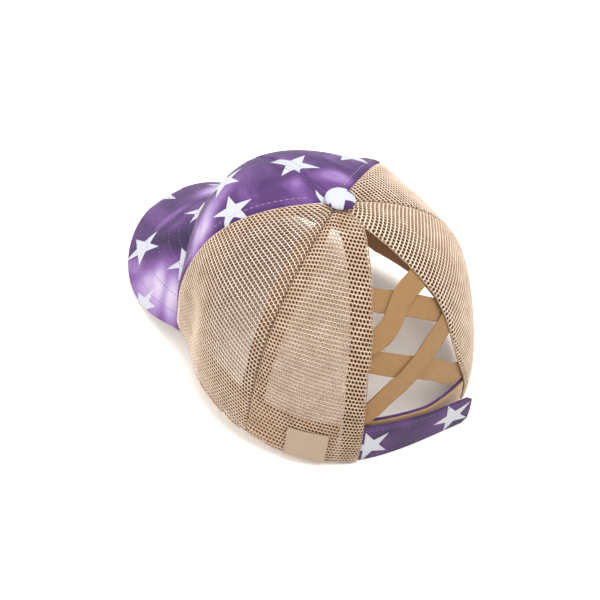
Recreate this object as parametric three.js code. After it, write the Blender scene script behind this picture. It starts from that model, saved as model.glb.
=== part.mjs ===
// Ponytail baseball cap: a six-panel crown with an open back, a curved peak, a covered button,
// an inner sweatband, four crossed elastic bands and a hook-and-loop closure.
// Millimetres, +Z up. The cap rests on the plane z = 0, with its peak towards -Y and its open back
// towards +Y. A bearing is in degrees round the crown: 0 is the back centre, 90 the wearer's left (+X)
// and 180 the front centre. A height is a share of the way from the lower edge (0) to the apex (1).
import * as THREE from 'three';
import { mergeVertices } from 'three/addons/utils/BufferGeometryUtils.js';

// Crown
const crownHalfWidth = 84.0;
const crownBack = 84.7;
const crownFront = 86.7;
const crownHeight = 111.6;
const apexForward = 6.8; // the apex lies this far in front of the crown's middle
const roundBack = 1.85; // exponents of the crown's plan: 2 is an ellipse, more is squarer
const roundSide = 1.81;
const roundFront = 2.87;
const domeBack = 2.33; // exponents of the crown's upright section
const domeSide = 3.84;
const domeFront = 2.61;
const rimClimb = 26.6; // rise of the lower edge from the back to the front
const rimArch = 22.3; // further rise of the lower edge over the middle of the peak
const netWall = 1.2;
const cottonWall = 1.5;
const pieceGap = 0.3; // clearance between neighbouring pieces
const layerGap = 0.8; // clearance between cloths that lie on each other, which the facets of both need
const panelPuff = 1.6; // how far the middle of a panel stands out past its seams
const dentDepth = 4.0; // unit of the dents and bulges table
const apexHole = 3.2; // radius of the hole that the button's shank passes through

// Seams, as bearings: front centre is 180
const seamFrontLeft = 126.0;
const seamBackLeft = 72.3;
const seamBackCentre = -2.0;
const seamBackRight = -71.4;
const seamFrontRight = -116.1;

// Opening at the back
const openingHalfWidth = 45.0; // reach of the opening's side at the lower edge, along the crown

// Peak
const peakReach = 99.5; // from the peak's two corners to the tip of its front edge
const peakThickness = 3.0;
const peakHalfAngle = 58.8; // bearing from the front centre to each corner
const peakSquareness = 2.5; // exponent of the peak's outline
const peakRounding = 0.03; // share of the peak's depth over which its edge is rounded off
const peakSwing = 1.6; // how far the soft peak's front edge is swung to the wearer's left

// Button
const buttonRadius = 8.3;
const buttonRise = 5.2;
const buttonLip = 1.5; // height of the button's side below its dome
const buttonEdge = 1.8; // width of the bevel under the button's edge
const shankRadius = 2.2;
const rivetRadius = 5.2;
const rivetThickness = 0.8;

// Sweatband
const sweatbandHeight = 28.0;
const sweatbandThickness = 1.5;
const sweatbandEnd = 38.0; // bearing at which it stops, each side of the back
const sweatbandLap = 4.0; // degrees past the front seams in which it clears the thicker cloth
const sweatbandHang = 5.0; // how far it hangs below the crown's edge at its slack place
const slackBearing = -112.0; // where that place lies
const slackSpread = 22.0;

// Elastic bands
const elasticWidth = 12.7;
const elasticThickness = 1.2;

// Closure
const tabThickness = 1.0;
const tapeThickness = 1.0;
const tabRootHeight = 29.0; // height of the outer tab where it is sewn in
const tabEndHeight = 22.0; // height of the outer tab at its free end
const tabRootBearing = 36.0;
const tabEndBearing = -19.0;
const tabFlareStart = 20.0; // bearing at which the outer tab starts to stand out
const tabFlare = 8.6; // how far the free end stands out from the crown
const tabSlopeStart = 30.0; // bearings between which the outer tab's top edge comes down
const tabSlopeEnd = -2.0;
const tabCorner = 2.5; // size of the cut corners of the free ends
const innerTabHeight = 21.0;
const innerTabEndBearing = 23.0;
const innerTabRootBearing = -36.0;
const tapeInset = 1.5; // from a tab's long edges to its tape
const hookEndBearing = -13.0;
const tapeStartBearing = 18.0;

// Label patch, left bare
const labelWidth = 22.0;
const labelHeight = 22.0;
const labelThickness = 1.0;
const labelBearing = 49.3;
const labelRise = 0.6; // above the crown's lower edge

// Half-width of the opening at each height, as shares of its half-width at the lower edge
const openingShape = [
  { height: 0.0, left: 1.006, right: 0.82 },
  { height: 0.06, left: 1.016, right: 0.75 },
  { height: 0.165, left: 1.034, right: 0.625 },
  { height: 0.27, left: 1.03, right: 0.56 },
  { height: 0.37, left: 0.975, right: 0.566 },
  { height: 0.47, left: 0.912, right: 0.557 },
  { height: 0.56, left: 0.844, right: 0.494 },
  { height: 0.65, left: 0.72, right: 0.406 },
  { height: 0.72, left: 0.578, right: 0.328 },
  { height: 0.78, left: 0.39, right: 0.215 },
  { height: 0.82, left: 0.22, right: 0.12 },
  { height: 0.85, left: 0.0, right: 0.0 },
];

// Dents (push below 0) and bulges of the soft crown, as shares of dentDepth.
// Spread is in degrees of bearing, tall is a share of the crown's height.
const softShape = [
  { where: 'pulled corner beside the closure', bearing: -29, height: 0.02, spread: 15, tall: 0.14, push: 1.3 },
  { where: 'slack lower edge on the left', bearing: 70, height: 0.0, spread: 30, tall: 0.12, push: 0.4 },
  { where: 'rim in front of the front left seam', bearing: 126, height: 0.03, spread: 8, tall: 0.14, push: 0.6 },
  { where: 'rim behind the front left seam', bearing: 112, height: 0.04, spread: 8, tall: 0.16, push: -0.7 },
  { where: 'ridge of the front centre seam', bearing: 180, height: 0.45, spread: 17, tall: 0.25, push: 0.9 },
  { where: 'hollow of the right front panel', bearing: -145, height: 0.53, spread: 16, tall: 0.2, push: -0.55 },
  { where: 'shoulder at the front right seam', bearing: -118, height: 0.5, spread: 10, tall: 0.2, push: 1.3 },
  { where: 'flat of the right side panel', bearing: -92, height: 0.42, spread: 15, tall: 0.2, push: -0.85 },
  { where: 'ridge of the back right seam', bearing: -67, height: 0.26, spread: 9, tall: 0.16, push: 0.3 },
];

// Centre lines of the elastic bands over the opening. Layer 1 lies just under the panels, layer 2 under that.
const bandRoutes = {
  elastic_band_a: [
    { bearing: 31, height: 0.585, layer: 1 },
    { bearing: 23, height: 0.574, layer: 1.7 },
    { bearing: 7.5, height: 0.546, layer: 2 },
    { bearing: -2.8, height: 0.506, layer: 2 },
    { bearing: -10.4, height: 0.465, layer: 2 },
    { bearing: -16.6, height: 0.422, layer: 2 },
    { bearing: -24, height: 0.37, layer: 2 },
  ],
  elastic_band_b: [
    { bearing: 34, height: 0.39, layer: 1 },
    { bearing: 27, height: 0.413, layer: 1 },
    { bearing: 19.8, height: 0.441, layer: 1 },
    { bearing: 13.3, height: 0.478, layer: 1 },
    { bearing: 7.9, height: 0.514, layer: 1 },
    { bearing: 1.9, height: 0.545, layer: 1 },
    { bearing: -6.1, height: 0.563, layer: 1 },
    { bearing: -18.6, height: 0.567, layer: 1 },
    { bearing: -24, height: 0.567, layer: 1 },
  ],
  elastic_band_c: [
    { bearing: 35, height: 0.357, layer: 2 },
    { bearing: 26.7, height: 0.346, layer: 2 },
    { bearing: 15.2, height: 0.323, layer: 2 },
    { bearing: 3.7, height: 0.286, layer: 2 },
    { bearing: -7, height: 0.227, layer: 2 },
    { bearing: -14.5, height: 0.167, layer: 1.7 },
    { bearing: -20.5, height: 0.13, layer: 1.3 },
    { bearing: -27, height: 0.107, layer: 1.3 },
  ],
  elastic_band_d: [
    { bearing: 35, height: 0.09, layer: 2 },
    { bearing: 29.5, height: 0.124, layer: 2 },
    { bearing: 19.3, height: 0.218, layer: 1.2 },
    { bearing: 11.7, height: 0.259, layer: 1 },
    { bearing: 1.3, height: 0.305, layer: 1 },
    { bearing: -8.1, height: 0.335, layer: 1 },
    { bearing: -20, height: 0.35, layer: 1 },
    { bearing: -26, height: 0.355, layer: 1 },
  ],
};

// Fineness of the faceted walls
const panelColumns = 10;
const panelRows = 14;
const bandSteps = 18;
const sweatbandColumns = 48;
const sweatbandRows = 3;
const stripColumns = 22;
const stripRows = 2;

const rad = THREE.MathUtils.degToRad;
const { clamp, lerp, smoothstep } = THREE.MathUtils;

// Bearing in the range -180 to 180
function wrap(bearing) {
  return bearing > 180 ? bearing - 360 : bearing;
}

// A value that runs from the back, past the sides, to the front of the crown
function roundValue(back, side, front, bearing) {
  const c = Math.cos(rad(bearing));
  return side + ((back - front) / 2) * c + ((back + front) / 2 - side) * c * c;
}

// Height of the seam line between crown and peak, and of the crown's lower edge elsewhere
function rimHeight(bearing) {
  const climb = 0.5 * (1 - Math.cos(rad(bearing)));
  const aside = clamp((180 - Math.abs(wrap(bearing))) / peakHalfAngle, 0, 1);
  const across = Math.sin(rad(aside * peakHalfAngle)) / Math.sin(rad(peakHalfAngle));
  const arch = 1 - across * across;
  return rimClimb * climb + rimArch * 0.5 * (arch + arch * arch * (3 - 2 * arch));
}

// The crown's cloth ends just above the peak, and at the seam line elsewhere
function clothEdge(bearing) {
  const beside = 180 - Math.abs(wrap(bearing)) - peakHalfAngle;
  const lift = peakThickness / 2 + pieceGap;
  return rimHeight(bearing) + lift * (1 - smoothstep(beside, 1, 9));
}

const seams = [-180, seamFrontRight, seamBackRight, seamBackCentre, seamBackLeft, seamFrontLeft, 180];

// Outward push of the soft crown: panels stand out between their seams, and dents follow the table
function softPush(bearing, height) {
  const b = wrap(bearing);
  let panel = 0;
  while (panel < seams.length - 2 && b > seams[panel + 1]) panel += 1;
  const across = clamp((b - seams[panel]) / (seams[panel + 1] - seams[panel]), 0, 1);
  const puff = panelPuff * (Math.sin(Math.PI * across) ** 2 - 0.5) * Math.sin(Math.PI * clamp(height, 0, 1));
  let dents = 0;
  for (const dent of softShape) {
    const aside = wrap(Math.abs(b - dent.bearing)) / dent.spread;
    const above = (height - dent.height) / dent.tall;
    dents += dentDepth * dent.push * Math.exp(-aside * aside - above * above);
  }
  return puff + dents;
}

// Outer face of the crown, with an extra distance outwards in plan
function crownPoint(bearing, height, out = 0) {
  const b = rad(bearing);
  const back = Math.cos(b) > 0 ? crownBack : crownFront;
  const turn = (clamp(height, 0, 1) * Math.PI) / 2;
  const inward = Math.cos(turn) ** (2 / roundValue(roundBack, roundSide, roundFront, bearing));
  const upward = Math.sin(turn) ** (2 / roundValue(domeBack, domeSide, domeFront, bearing));
  const push = softPush(bearing, height) + out;
  const edge = clothEdge(bearing);
  return new THREE.Vector3(
    (crownHalfWidth * inward + push) * Math.sin(b),
    (back * inward + push) * Math.cos(b) - apexForward * (1 - inward),
    edge + (crownHeight - edge) * upward,
  );
}

// Unit normal of the crown's outer face
function crownNormal(bearing, height) {
  const low = Math.max(height - 0.004, 0);
  const along = crownPoint(bearing + 0.2, height).sub(crownPoint(bearing - 0.2, height));
  const up = crownPoint(bearing, height + 0.004).sub(crownPoint(bearing, low));
  return up.cross(along).normalize();
}

// A point at a depth below the crown's outer face
function underCrown(bearing, height, depth) {
  return crownPoint(bearing, height).addScaledVector(crownNormal(bearing, height), -depth);
}

// Share of the crown's height at which its face reaches z
function heightAt(bearing, z) {
  const edge = clothEdge(bearing);
  const upward = clamp((z - edge) / (crownHeight - edge), 0, 1);
  const power = roundValue(domeBack, domeSide, domeFront, bearing) / 2;
  return (Math.asin(upward ** power) * 2) / Math.PI;
}

// Degrees of bearing that span a length along the crown's back at its lower edge
function backDegrees(length) {
  return THREE.MathUtils.radToDeg(length / crownBack);
}

// A closed wall between two grids of points, with its four borders joined
function wall(outer, inner) {
  const rows = outer.length;
  const columns = outer[0].length;
  const points = [];
  const faces = [];
  for (const grid of [outer, inner]) {
    for (const row of grid) {
      for (const point of row) points.push(point.x, point.y, point.z);
    }
  }
  const index = (side, row, column) => side * rows * columns + row * columns + column;
  const quad = (a, b, c, d) => faces.push(a, b, c, a, c, d);
  for (let r = 0; r < rows - 1; r += 1) {
    for (let c = 0; c < columns - 1; c += 1) {
      quad(index(0, r, c), index(0, r, c + 1), index(0, r + 1, c + 1), index(0, r + 1, c));
      quad(index(1, r, c), index(1, r + 1, c), index(1, r + 1, c + 1), index(1, r, c + 1));
    }
  }
  for (let c = 0; c < columns - 1; c += 1) {
    quad(index(0, 0, c + 1), index(0, 0, c), index(1, 0, c), index(1, 0, c + 1));
    quad(index(0, rows - 1, c), index(0, rows - 1, c + 1), index(1, rows - 1, c + 1), index(1, rows - 1, c));
  }
  for (let r = 0; r < rows - 1; r += 1) {
    quad(index(0, r, 0), index(0, r + 1, 0), index(1, r + 1, 0), index(1, r, 0));
    const last = columns - 1;
    quad(index(0, r + 1, last), index(0, r, last), index(1, r, last), index(1, r + 1, last));
  }
  return closedGeometry(points, faces);
}

// Shared points are merged, faces that shrank to a line are dropped, and all faces point outwards
function closedGeometry(points, faces) {
  const loose = new THREE.BufferGeometry();
  loose.setAttribute('position', new THREE.Float32BufferAttribute(points, 3));
  loose.setIndex(faces);
  const merged = mergeVertices(loose, 1e-4);
  const at = merged.index.array;
  const kept = [];
  for (let i = 0; i < at.length; i += 3) {
    const distinct = at[i] !== at[i + 1] && at[i + 1] !== at[i + 2] && at[i + 2] !== at[i];
    if (distinct) kept.push(at[i], at[i + 1], at[i + 2]);
  }
  merged.setIndex(signedVolume(merged.attributes.position, kept) < 0 ? kept.reverse() : kept);
  merged.computeVertexNormals();
  return merged;
}

function signedVolume(position, at) {
  const corners = [new THREE.Vector3(), new THREE.Vector3(), new THREE.Vector3()];
  let volume = 0;
  for (let i = 0; i < at.length; i += 3) {
    corners.forEach((corner, k) => corner.fromBufferAttribute(position, at[i + k]));
    volume += corners[0].dot(corners[1].cross(corners[2])) / 6;
  }
  return volume;
}

// Grid of points: place(u, v) with u along the columns and v up the rows, both from 0 to 1
function grid(columns, rows, place) {
  return Array.from({ length: rows + 1 }, (_, r) =>
    Array.from({ length: columns + 1 }, (_, c) => place(c / columns, r / rows)),
  );
}

function part(name, geometry, color, roughness) {
  const mesh = new THREE.Mesh(geometry, new THREE.MeshStandardMaterial({ color, roughness, metalness: 0 }));
  mesh.name = name;
  return mesh;
}

// Share of the opening's half-width at a height, from the table
function openingShare(height, side) {
  const last = openingShape.length - 1;
  if (height >= openingShape[last].height) return 0;
  let row = 0;
  while (row < last - 1 && height > openingShape[row + 1].height) row += 1;
  const below = openingShape[row];
  const above = openingShape[row + 1];
  return lerp(below[side], above[side], (height - below.height) / (above.height - below.height));
}

function openingBearing(height, side) {
  const reach = backDegrees(openingHalfWidth) * openingShare(height, side);
  return seamBackCentre + (side === 'left' ? reach : -reach);
}

// Share of the crown's height at which its face comes within a radius of the apex
function heightAtRadius(bearing, radius) {
  const b = rad(bearing);
  const back = Math.cos(b) > 0 ? crownBack : crownFront;
  const reach = Math.hypot(crownHalfWidth * Math.sin(b), back * Math.cos(b));
  const power = roundValue(roundBack, roundSide, roundFront, bearing) / 2;
  return 1 - (2 / Math.PI) * Math.asin((radius / reach) ** power);
}

// One panel of the crown between two bearings, which may change with height. Its sides stop half a
// gap short of the seams, and its top at the hole for the button's shank.
function panelWall(from, to, thickness, heightsAt) {
  const rows = heightsAt(from(1)).length;
  const place = (depth) =>
    Array.from({ length: rows }, (_, r) =>
      Array.from({ length: panelColumns + 1 }, (_, c) => {
        const start = from(heightsAt(from(1))[r]);
        const end = to(heightsAt(to(1))[r]);
        const across = c / panelColumns;
        const height = heightsAt(lerp(start, end, across))[r];
        const spot = crownPoint(lerp(start, end, across), height);
        const inset = THREE.MathUtils.radToDeg(pieceGap / 2 / Math.hypot(spot.x, spot.y + apexForward));
        return underCrown(lerp(start + inset, end - inset, across), height, depth);
      }),
    );
  return wall(place(0), place(thickness));
}

function evenHeights(bearing) {
  const top = heightAtRadius(bearing, apexHole);
  return Array.from({ length: panelRows + 1 }, (_, r) => (top * r) / panelRows);
}

function openingHeights(bearing) {
  const heights = openingShape.map((row) => row.height);
  const open = heights[heights.length - 1];
  const top = heightAtRadius(bearing, apexHole);
  return [...heights, lerp(open, top, 0.5), top];
}

function netPanel(name, from, to, heightsAt) {
  return part(name, panelWall(from, to, netWall, heightsAt), 0xdcc3a5, 0.8);
}

function cottonPanel(name, from, to, heightsAt) {
  return part(name, panelWall(from, to, cottonWall, heightsAt), 0x6b4590, 0.85);
}

function makePanels() {
  return [
    netPanel('side_panel_left', () => seamBackLeft, () => seamFrontLeft, evenHeights),
    netPanel('side_panel_right', () => seamFrontRight, () => seamBackRight, evenHeights),
    netPanel('back_panel_left', (height) => openingBearing(height, 'left'), () => seamBackLeft, openingHeights),
    netPanel('back_panel_right', () => seamBackRight, (height) => openingBearing(height, 'right'), openingHeights),
    cottonPanel('front_panel_left', () => seamFrontLeft, () => 180, evenHeights),
    cottonPanel('front_panel_right', () => -180, () => seamFrontRight, evenHeights),
  ];
}

// A point of the peak in plan: across runs from -1 to 1 between the corners, and along from 0 at the
// crown's inner face to 1 at the peak's edge
function peakPlan(across, along) {
  const halfAngle = rad(peakHalfAngle);
  const bearing = 180 - across * peakHalfAngle;
  const inner = crownPoint(bearing, 0, -cottonWall);
  const turn = (across * Math.PI) / 2;
  const cornerX = crownHalfWidth * Math.sin(halfAngle);
  const cornerY = -crownFront * Math.cos(halfAngle);
  const swing = peakSwing * Math.cos(turn) ** (2 / peakSquareness);
  const edgeX = cornerX * Math.sign(turn) * Math.abs(Math.sin(turn)) ** (2 / peakSquareness) + swing;
  const edgeY = cornerY - peakReach * Math.cos(turn) ** (2 / peakSquareness);
  return new THREE.Vector2(lerp(inner.x, edgeX, along), lerp(inner.y, edgeY, along));
}

// Seam height and distance forward of the seam, for a point of the peak in plan
function peakRun(plan, across, along) {
  const sine = clamp(Math.abs(plan.x) / crownHalfWidth, 0, Math.sin(rad(peakHalfAngle)));
  const aside = THREE.MathUtils.radToDeg(Math.asin(sine));
  const seam = lerp(rimHeight(180 - across * peakHalfAngle), rimHeight(180 - aside), along);
  return { seam, run: Math.max(-crownFront * Math.cos(rad(aside)) - plan.y, 0) };
}

// Half thickness of the peak, rounded off over the last stretch before its edge
function peakHalf(along) {
  const left = clamp((1 - along) / peakRounding, 0, 1);
  return (peakThickness / 2) * Math.sqrt(1 - (1 - left) ** 2);
}

const peakRows = [0, 0.2, 0.4, 0.6, 0.8, 0.93, 0.975, 0.993, 1];
const peakColumns = 26;

// The peak falls forward just so far that its two sides touch the plane that the cap rests on
function peakSlope() {
  let slope = Infinity;
  for (let c = 0; c <= peakColumns; c += 1) {
    const across = lerp(-1, 1, c / peakColumns);
    for (const along of peakRows) {
      const { seam, run } = peakRun(peakPlan(across, along), across, along);
      if (run > peakThickness) slope = Math.min(slope, (seam - peakHalf(along)) / run);
    }
  }
  return slope;
}

function makePeak() {
  const slope = peakSlope();
  const side = (sign) =>
    peakRows.map((along) =>
      Array.from({ length: peakColumns + 1 }, (_, c) => {
        const across = lerp(-1, 1, c / peakColumns);
        const plan = peakPlan(across, along);
        const { seam, run } = peakRun(plan, across, along);
        return new THREE.Vector3(plan.x, plan.y, seam - slope * run + sign * peakHalf(along));
      }),
    );
  return part('peak', wall(side(1), side(-1)), 0x6b4590, 0.85);
}

// Lowest or highest reach of the crown's face round the apex at a radius
function crownTopAt(radius) {
  const bearings = Array.from({ length: 24 }, (_, i) => i * 15 - 180);
  const reach = bearings.map((bearing) => crownPoint(bearing, heightAtRadius(bearing, radius)).z);
  return { low: Math.min(...reach), high: Math.max(...reach) };
}

function makeButton() {
  const seat = crownTopAt(buttonRadius).high + pieceGap;
  const middle = crownHeight + pieceGap;
  const rivet = crownTopAt(rivetRadius).low - cottonWall - pieceGap;
  const profile = [
    new THREE.Vector2(0, rivet - rivetThickness),
    new THREE.Vector2(rivetRadius, rivet - rivetThickness),
    new THREE.Vector2(rivetRadius, rivet),
    new THREE.Vector2(shankRadius, rivet),
    new THREE.Vector2(shankRadius, middle),
    new THREE.Vector2(buttonRadius - buttonEdge, middle),
    new THREE.Vector2(buttonRadius, seat),
  ];
  const steps = 7;
  for (let i = 0; i <= steps; i += 1) {
    const turn = (i / steps) * (Math.PI / 2);
    const radius = i === steps ? 0 : buttonRadius * Math.cos(turn);
    profile.push(new THREE.Vector2(radius, seat + buttonLip + (buttonRise - buttonLip) * Math.sin(turn)));
  }
  const lathe = new THREE.LatheGeometry(profile, 22);
  lathe.deleteAttribute('normal');
  lathe.deleteAttribute('uv');
  const closed = closedGeometry(Array.from(lathe.attributes.position.array), Array.from(lathe.index.array));
  closed.rotateX(Math.PI / 2);
  closed.translate(0, -apexForward, 0);
  return part('button', closed, 0xd9d6ea, 0.85);
}

// Band of cloth inside the lower edge of the crown, open at the back
function makeSweatband() {
  const depthAt = (bearing) => {
    const front = bearing > seamFrontLeft - sweatbandLap && bearing < 360 + seamFrontRight + sweatbandLap;
    return (front ? cottonWall : netWall) + layerGap;
  };
  const hangAt = (bearing) => sweatbandHang * Math.exp(-(((wrap(bearing) - slackBearing) / slackSpread) ** 2));
  const place = (extra) => (u, v) => {
    const bearing = lerp(sweatbandEnd, 360 - sweatbandEnd, u);
    const height = heightAt(bearing, clothEdge(bearing) + sweatbandHeight * v);
    const point = underCrown(wrap(bearing), height, depthAt(bearing) + extra);
    return point.setZ(point.z - hangAt(bearing) * (1 - v));
  };
  const outer = grid(sweatbandColumns, sweatbandRows, place(0));
  const inner = grid(sweatbandColumns, sweatbandRows, place(sweatbandThickness));
  return part('sweatband', wall(outer, inner), 0xc9a67e, 0.9);
}

// Depth of a band's outer face: the first layer lies just inside the panels
function layerDepth(layer) {
  return netWall + layerGap + (layer - 1) * (elasticThickness + pieceGap);
}

// A flat elastic band that follows the crown across the opening, with its ends inside the panels
function makeElastic(name, rows) {
  const route = new THREE.CatmullRomCurve3(
    rows.map((row) => new THREE.Vector3(row.bearing, row.height * 100, row.layer * 10)),
    false,
    'catmullrom',
    0.5,
  );
  const at = (u) => {
    const p = route.getPoint(u);
    return { bearing: p.x, height: p.y / 100, layer: p.z / 10 };
  };
  const centre = (u) => {
    const spot = at(clamp(u, 0, 1));
    return underCrown(spot.bearing, spot.height, layerDepth(spot.layer));
  };
  const face = (depth) =>
    Array.from({ length: bandSteps + 1 }, (_, i) => {
      const u = i / bandSteps;
      const spot = at(u);
      const normal = crownNormal(spot.bearing, spot.height);
      const along = centre(u + 0.01).sub(centre(u - 0.01)).normalize();
      const across = new THREE.Vector3().crossVectors(normal, along).normalize();
      return [-0.5, 0, 0.5].map((side) =>
        centre(u)
          .addScaledVector(across, side * elasticWidth)
          .addScaledVector(normal, -depth - Math.abs(side) * 0.4),
      );
    });
  return part(name, wall(face(0), face(elasticThickness)), 0xc8a270, 0.75);
}

// How far the outer tab's outer face stands out from the crown's face
function tabStand(bearing) {
  const sewn = -(netWall + layerGap);
  const free = clamp((tabFlareStart - bearing) / (tabFlareStart - tabEndBearing), 0, 1);
  return sewn + (tabFlare - sewn) * free ** 2.15;
}

// Depth of the tape and tab layers inside the outer tab
const hookDepth = tabThickness + pieceGap;
const loopDepth = hookDepth + tapeThickness + pieceGap;
const innerTabDepth = loopDepth + tapeThickness + pieceGap;

// The inner tab lies against the tapes, and passes just inside the right back panel
function innerTabStand(bearing) {
  return Math.min(tabStand(bearing) - innerTabDepth, -(netWall + layerGap + pieceGap));
}

// An upright strip of cloth round the back of the rim. Its outer face stands off the crown by stand(bearing).
function strip(name, spec) {
  const place = (extra) => (u, v) => {
    const bearing = lerp(spec.start, spec.end, u);
    const ends = Math.min(u, 1 - u) * Math.abs(spec.start - spec.end);
    const cut = spec.corner ? spec.corner * (1 - smoothstep(ends, 0, backDegrees(spec.corner) * 1.2)) : 0;
    const top = spec.top(bearing) - cut;
    const bottom = spec.bottom + cut;
    const z = lerp(bottom, top, v);
    const stand = spec.stand(bearing) - extra;
    const point = underCrown(bearing, heightAt(bearing, z), Math.max(-stand, 0));
    const outwards = new THREE.Vector3(Math.sin(rad(bearing)), Math.cos(rad(bearing)), 0);
    return point.addScaledVector(outwards, Math.max(stand, 0)).setZ(z);
  };
  const outer = grid(stripColumns, stripRows, place(0));
  const inner = grid(stripColumns, stripRows, place(spec.thickness));
  return part(name, wall(outer, inner), spec.color, 0.85);
}

function tabTop(bearing) {
  const along = clamp((tabSlopeStart - bearing) / (tabSlopeStart - tabSlopeEnd), 0, 1);
  return lerp(tabRootHeight, tabEndHeight, along);
}

function makeClosure() {
  const innerTop = () => innerTabHeight;
  const tapeTop = (bearing) => Math.min(tabTop(bearing), innerTabHeight) - tapeInset;
  const loopEnd = openingBearing(heightAt(-25, innerTabHeight), 'right') + 1.2;
  return [
    strip('closure_tab_outer', {
      start: tabRootBearing,
      end: tabEndBearing,
      top: tabTop,
      bottom: 0,
      stand: tabStand,
      thickness: tabThickness,
      corner: tabCorner,
      color: 0x5b3a7e,
    }),
    strip('closure_hook_tape', {
      start: tapeStartBearing,
      end: hookEndBearing,
      top: tapeTop,
      bottom: tapeInset,
      stand: (bearing) => tabStand(bearing) - hookDepth,
      thickness: tapeThickness,
      color: 0xb08a5c,
    }),
    strip('closure_loop_tape', {
      start: tapeStartBearing,
      end: loopEnd,
      top: tapeTop,
      bottom: tapeInset,
      stand: (bearing) => innerTabStand(bearing) + pieceGap + tapeThickness,
      thickness: tapeThickness,
      color: 0xc4a074,
    }),
    strip('closure_tab_inner', {
      start: innerTabEndBearing,
      end: innerTabRootBearing,
      top: innerTop,
      bottom: 0,
      stand: innerTabStand,
      thickness: tabThickness,
      corner: tabCorner,
      color: 0x6b4590,
    }),
  ];
}

// Bare patch sewn on the left back panel at the lower edge
function makeLabel() {
  const halfTurn = THREE.MathUtils.radToDeg(labelWidth / 2 / crownHalfWidth);
  const place = (out) => (u, v) => {
    const bearing = lerp(labelBearing - halfTurn, labelBearing + halfTurn, u);
    const z = clothEdge(bearing) + labelRise + labelHeight * v;
    return underCrown(bearing, heightAt(bearing, z), -out);
  };
  const outer = grid(5, 4, place(pieceGap + labelThickness));
  return part('label_patch', wall(outer, grid(5, 4, place(pieceGap))), 0xd3c0a0, 0.9);
}

const cap = new THREE.Group();
cap.add(...makePanels());
cap.add(makePeak(), makeButton(), makeSweatband());
for (const [name, rows] of Object.entries(bandRoutes)) cap.add(makeElastic(name, rows));
cap.add(...makeClosure());
cap.add(makeLabel());

export default cap;
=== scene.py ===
# Ponytail baseball cap: printed cotton front, trucker net back, crossed elastic bands.
# Bearings are degrees round the crown: 0 is the back, 90 the wearer's left, 180 the front.
# A height is a share of the way from the crown's lower edge (0) to its apex (1).
import math

import bpy
import numpy as np
from mathutils import Matrix, Vector


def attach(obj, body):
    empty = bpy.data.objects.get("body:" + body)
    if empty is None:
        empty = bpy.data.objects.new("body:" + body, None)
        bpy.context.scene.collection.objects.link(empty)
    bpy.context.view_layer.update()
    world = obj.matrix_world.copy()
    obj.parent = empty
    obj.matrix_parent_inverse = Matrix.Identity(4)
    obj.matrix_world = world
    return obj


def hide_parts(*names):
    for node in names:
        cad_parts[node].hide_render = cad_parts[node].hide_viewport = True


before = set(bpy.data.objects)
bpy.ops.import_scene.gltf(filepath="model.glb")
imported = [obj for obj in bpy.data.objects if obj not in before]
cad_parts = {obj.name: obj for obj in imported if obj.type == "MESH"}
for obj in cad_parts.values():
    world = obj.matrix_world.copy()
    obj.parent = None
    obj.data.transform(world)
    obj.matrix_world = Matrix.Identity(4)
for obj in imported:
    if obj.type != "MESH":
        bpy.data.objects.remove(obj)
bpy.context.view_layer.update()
print("frame loaded:", len(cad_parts), "nodes")

mm = 0.001

# The camera's place, behind the cap, to its left and above
view = {
    "azimuth": 129.72,  # degrees
    "elevation": 45.05,
    "roll": 10.995,
    "target": (0.0, 0.0, 50 * mm),
    "distance": 600.6 * mm,
    "focalPixels": 1056.4,  # in the 600 pixel frame
    "frame": 600,
    "targetPixel": (332.8, 289.7),
    "sensor": 36.0,
}


def turnTo(thing, right, up, place):  # a camera or a lamp looks along its own -z
    axes = np.eye(4)
    axes[:3, :3] = np.column_stack([right, up, np.cross(right, up)])
    axes[:3, 3] = place
    thing.matrix_world = Matrix(axes.tolist())


def makeCamera():
    turn, lift, roll = (math.radians(view[key]) for key in ("azimuth", "elevation", "roll"))
    ahead = np.array([-math.sin(turn) * math.cos(lift), math.cos(turn) * math.cos(lift), -math.sin(lift)])
    level = np.array([math.cos(turn), math.sin(turn), 0.0])
    steep = np.cross(level, ahead)
    right = level * math.cos(roll) + steep * math.sin(roll)
    up = steep * math.cos(roll) - level * math.sin(roll)
    place = np.array(view["target"]) - ahead * view["distance"]
    bpy.ops.object.camera_add(location=place)
    camera = bpy.context.object
    camera.name = "camera"
    turnTo(camera, right, up, place)
    lens = camera.data
    lens.sensor_fit = "HORIZONTAL"
    lens.sensor_width = view["sensor"]
    lens.lens = view["sensor"] * view["focalPixels"] / view["frame"]
    middle = view["frame"] / 2
    lens.shift_x = (middle - view["targetPixel"][0]) / view["frame"]
    lens.shift_y = (view["targetPixel"][1] - middle) / view["frame"]
    lens.clip_start = 10 * mm
    bpy.context.scene.camera = camera


makeCamera()
print("camera placed")

# The crown's form, as the CAD model has it
crown = {
    "halfWidth": 84.0 * mm,
    "back": 84.7 * mm,
    "front": 86.7 * mm,
    "height": 111.6 * mm,
    "apexForward": 6.8 * mm,
    "planPower": (1.85, 1.81, 2.87),  # back, side and front
    "domePower": (2.33, 3.84, 2.61),
    "rimClimb": 26.6 * mm,
    "rimArch": 22.3 * mm,
    "puff": 1.6 * mm,
    "dent": 4.0 * mm,
    "apexHole": 3.2 * mm,
    "besidePeak": (1, 9),  # degrees beside the peak over which the edge comes down to the rim
}
walls = {
    "net": 1.2 * mm,
    "cotton": 1.5 * mm,
    "gap": 0.3 * mm,
    "layer": 0.8 * mm,
}
seam = {
    "frontLeft": 126.0,
    "backLeft": 72.3,
    "backCentre": -2.0,
    "backRight": -71.4,
    "frontRight": -116.1,
}
seamLine = np.array([-180.0, seam["frontRight"], seam["backRight"], seam["backCentre"], seam["backLeft"],
                     seam["frontLeft"], 180.0])

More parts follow.
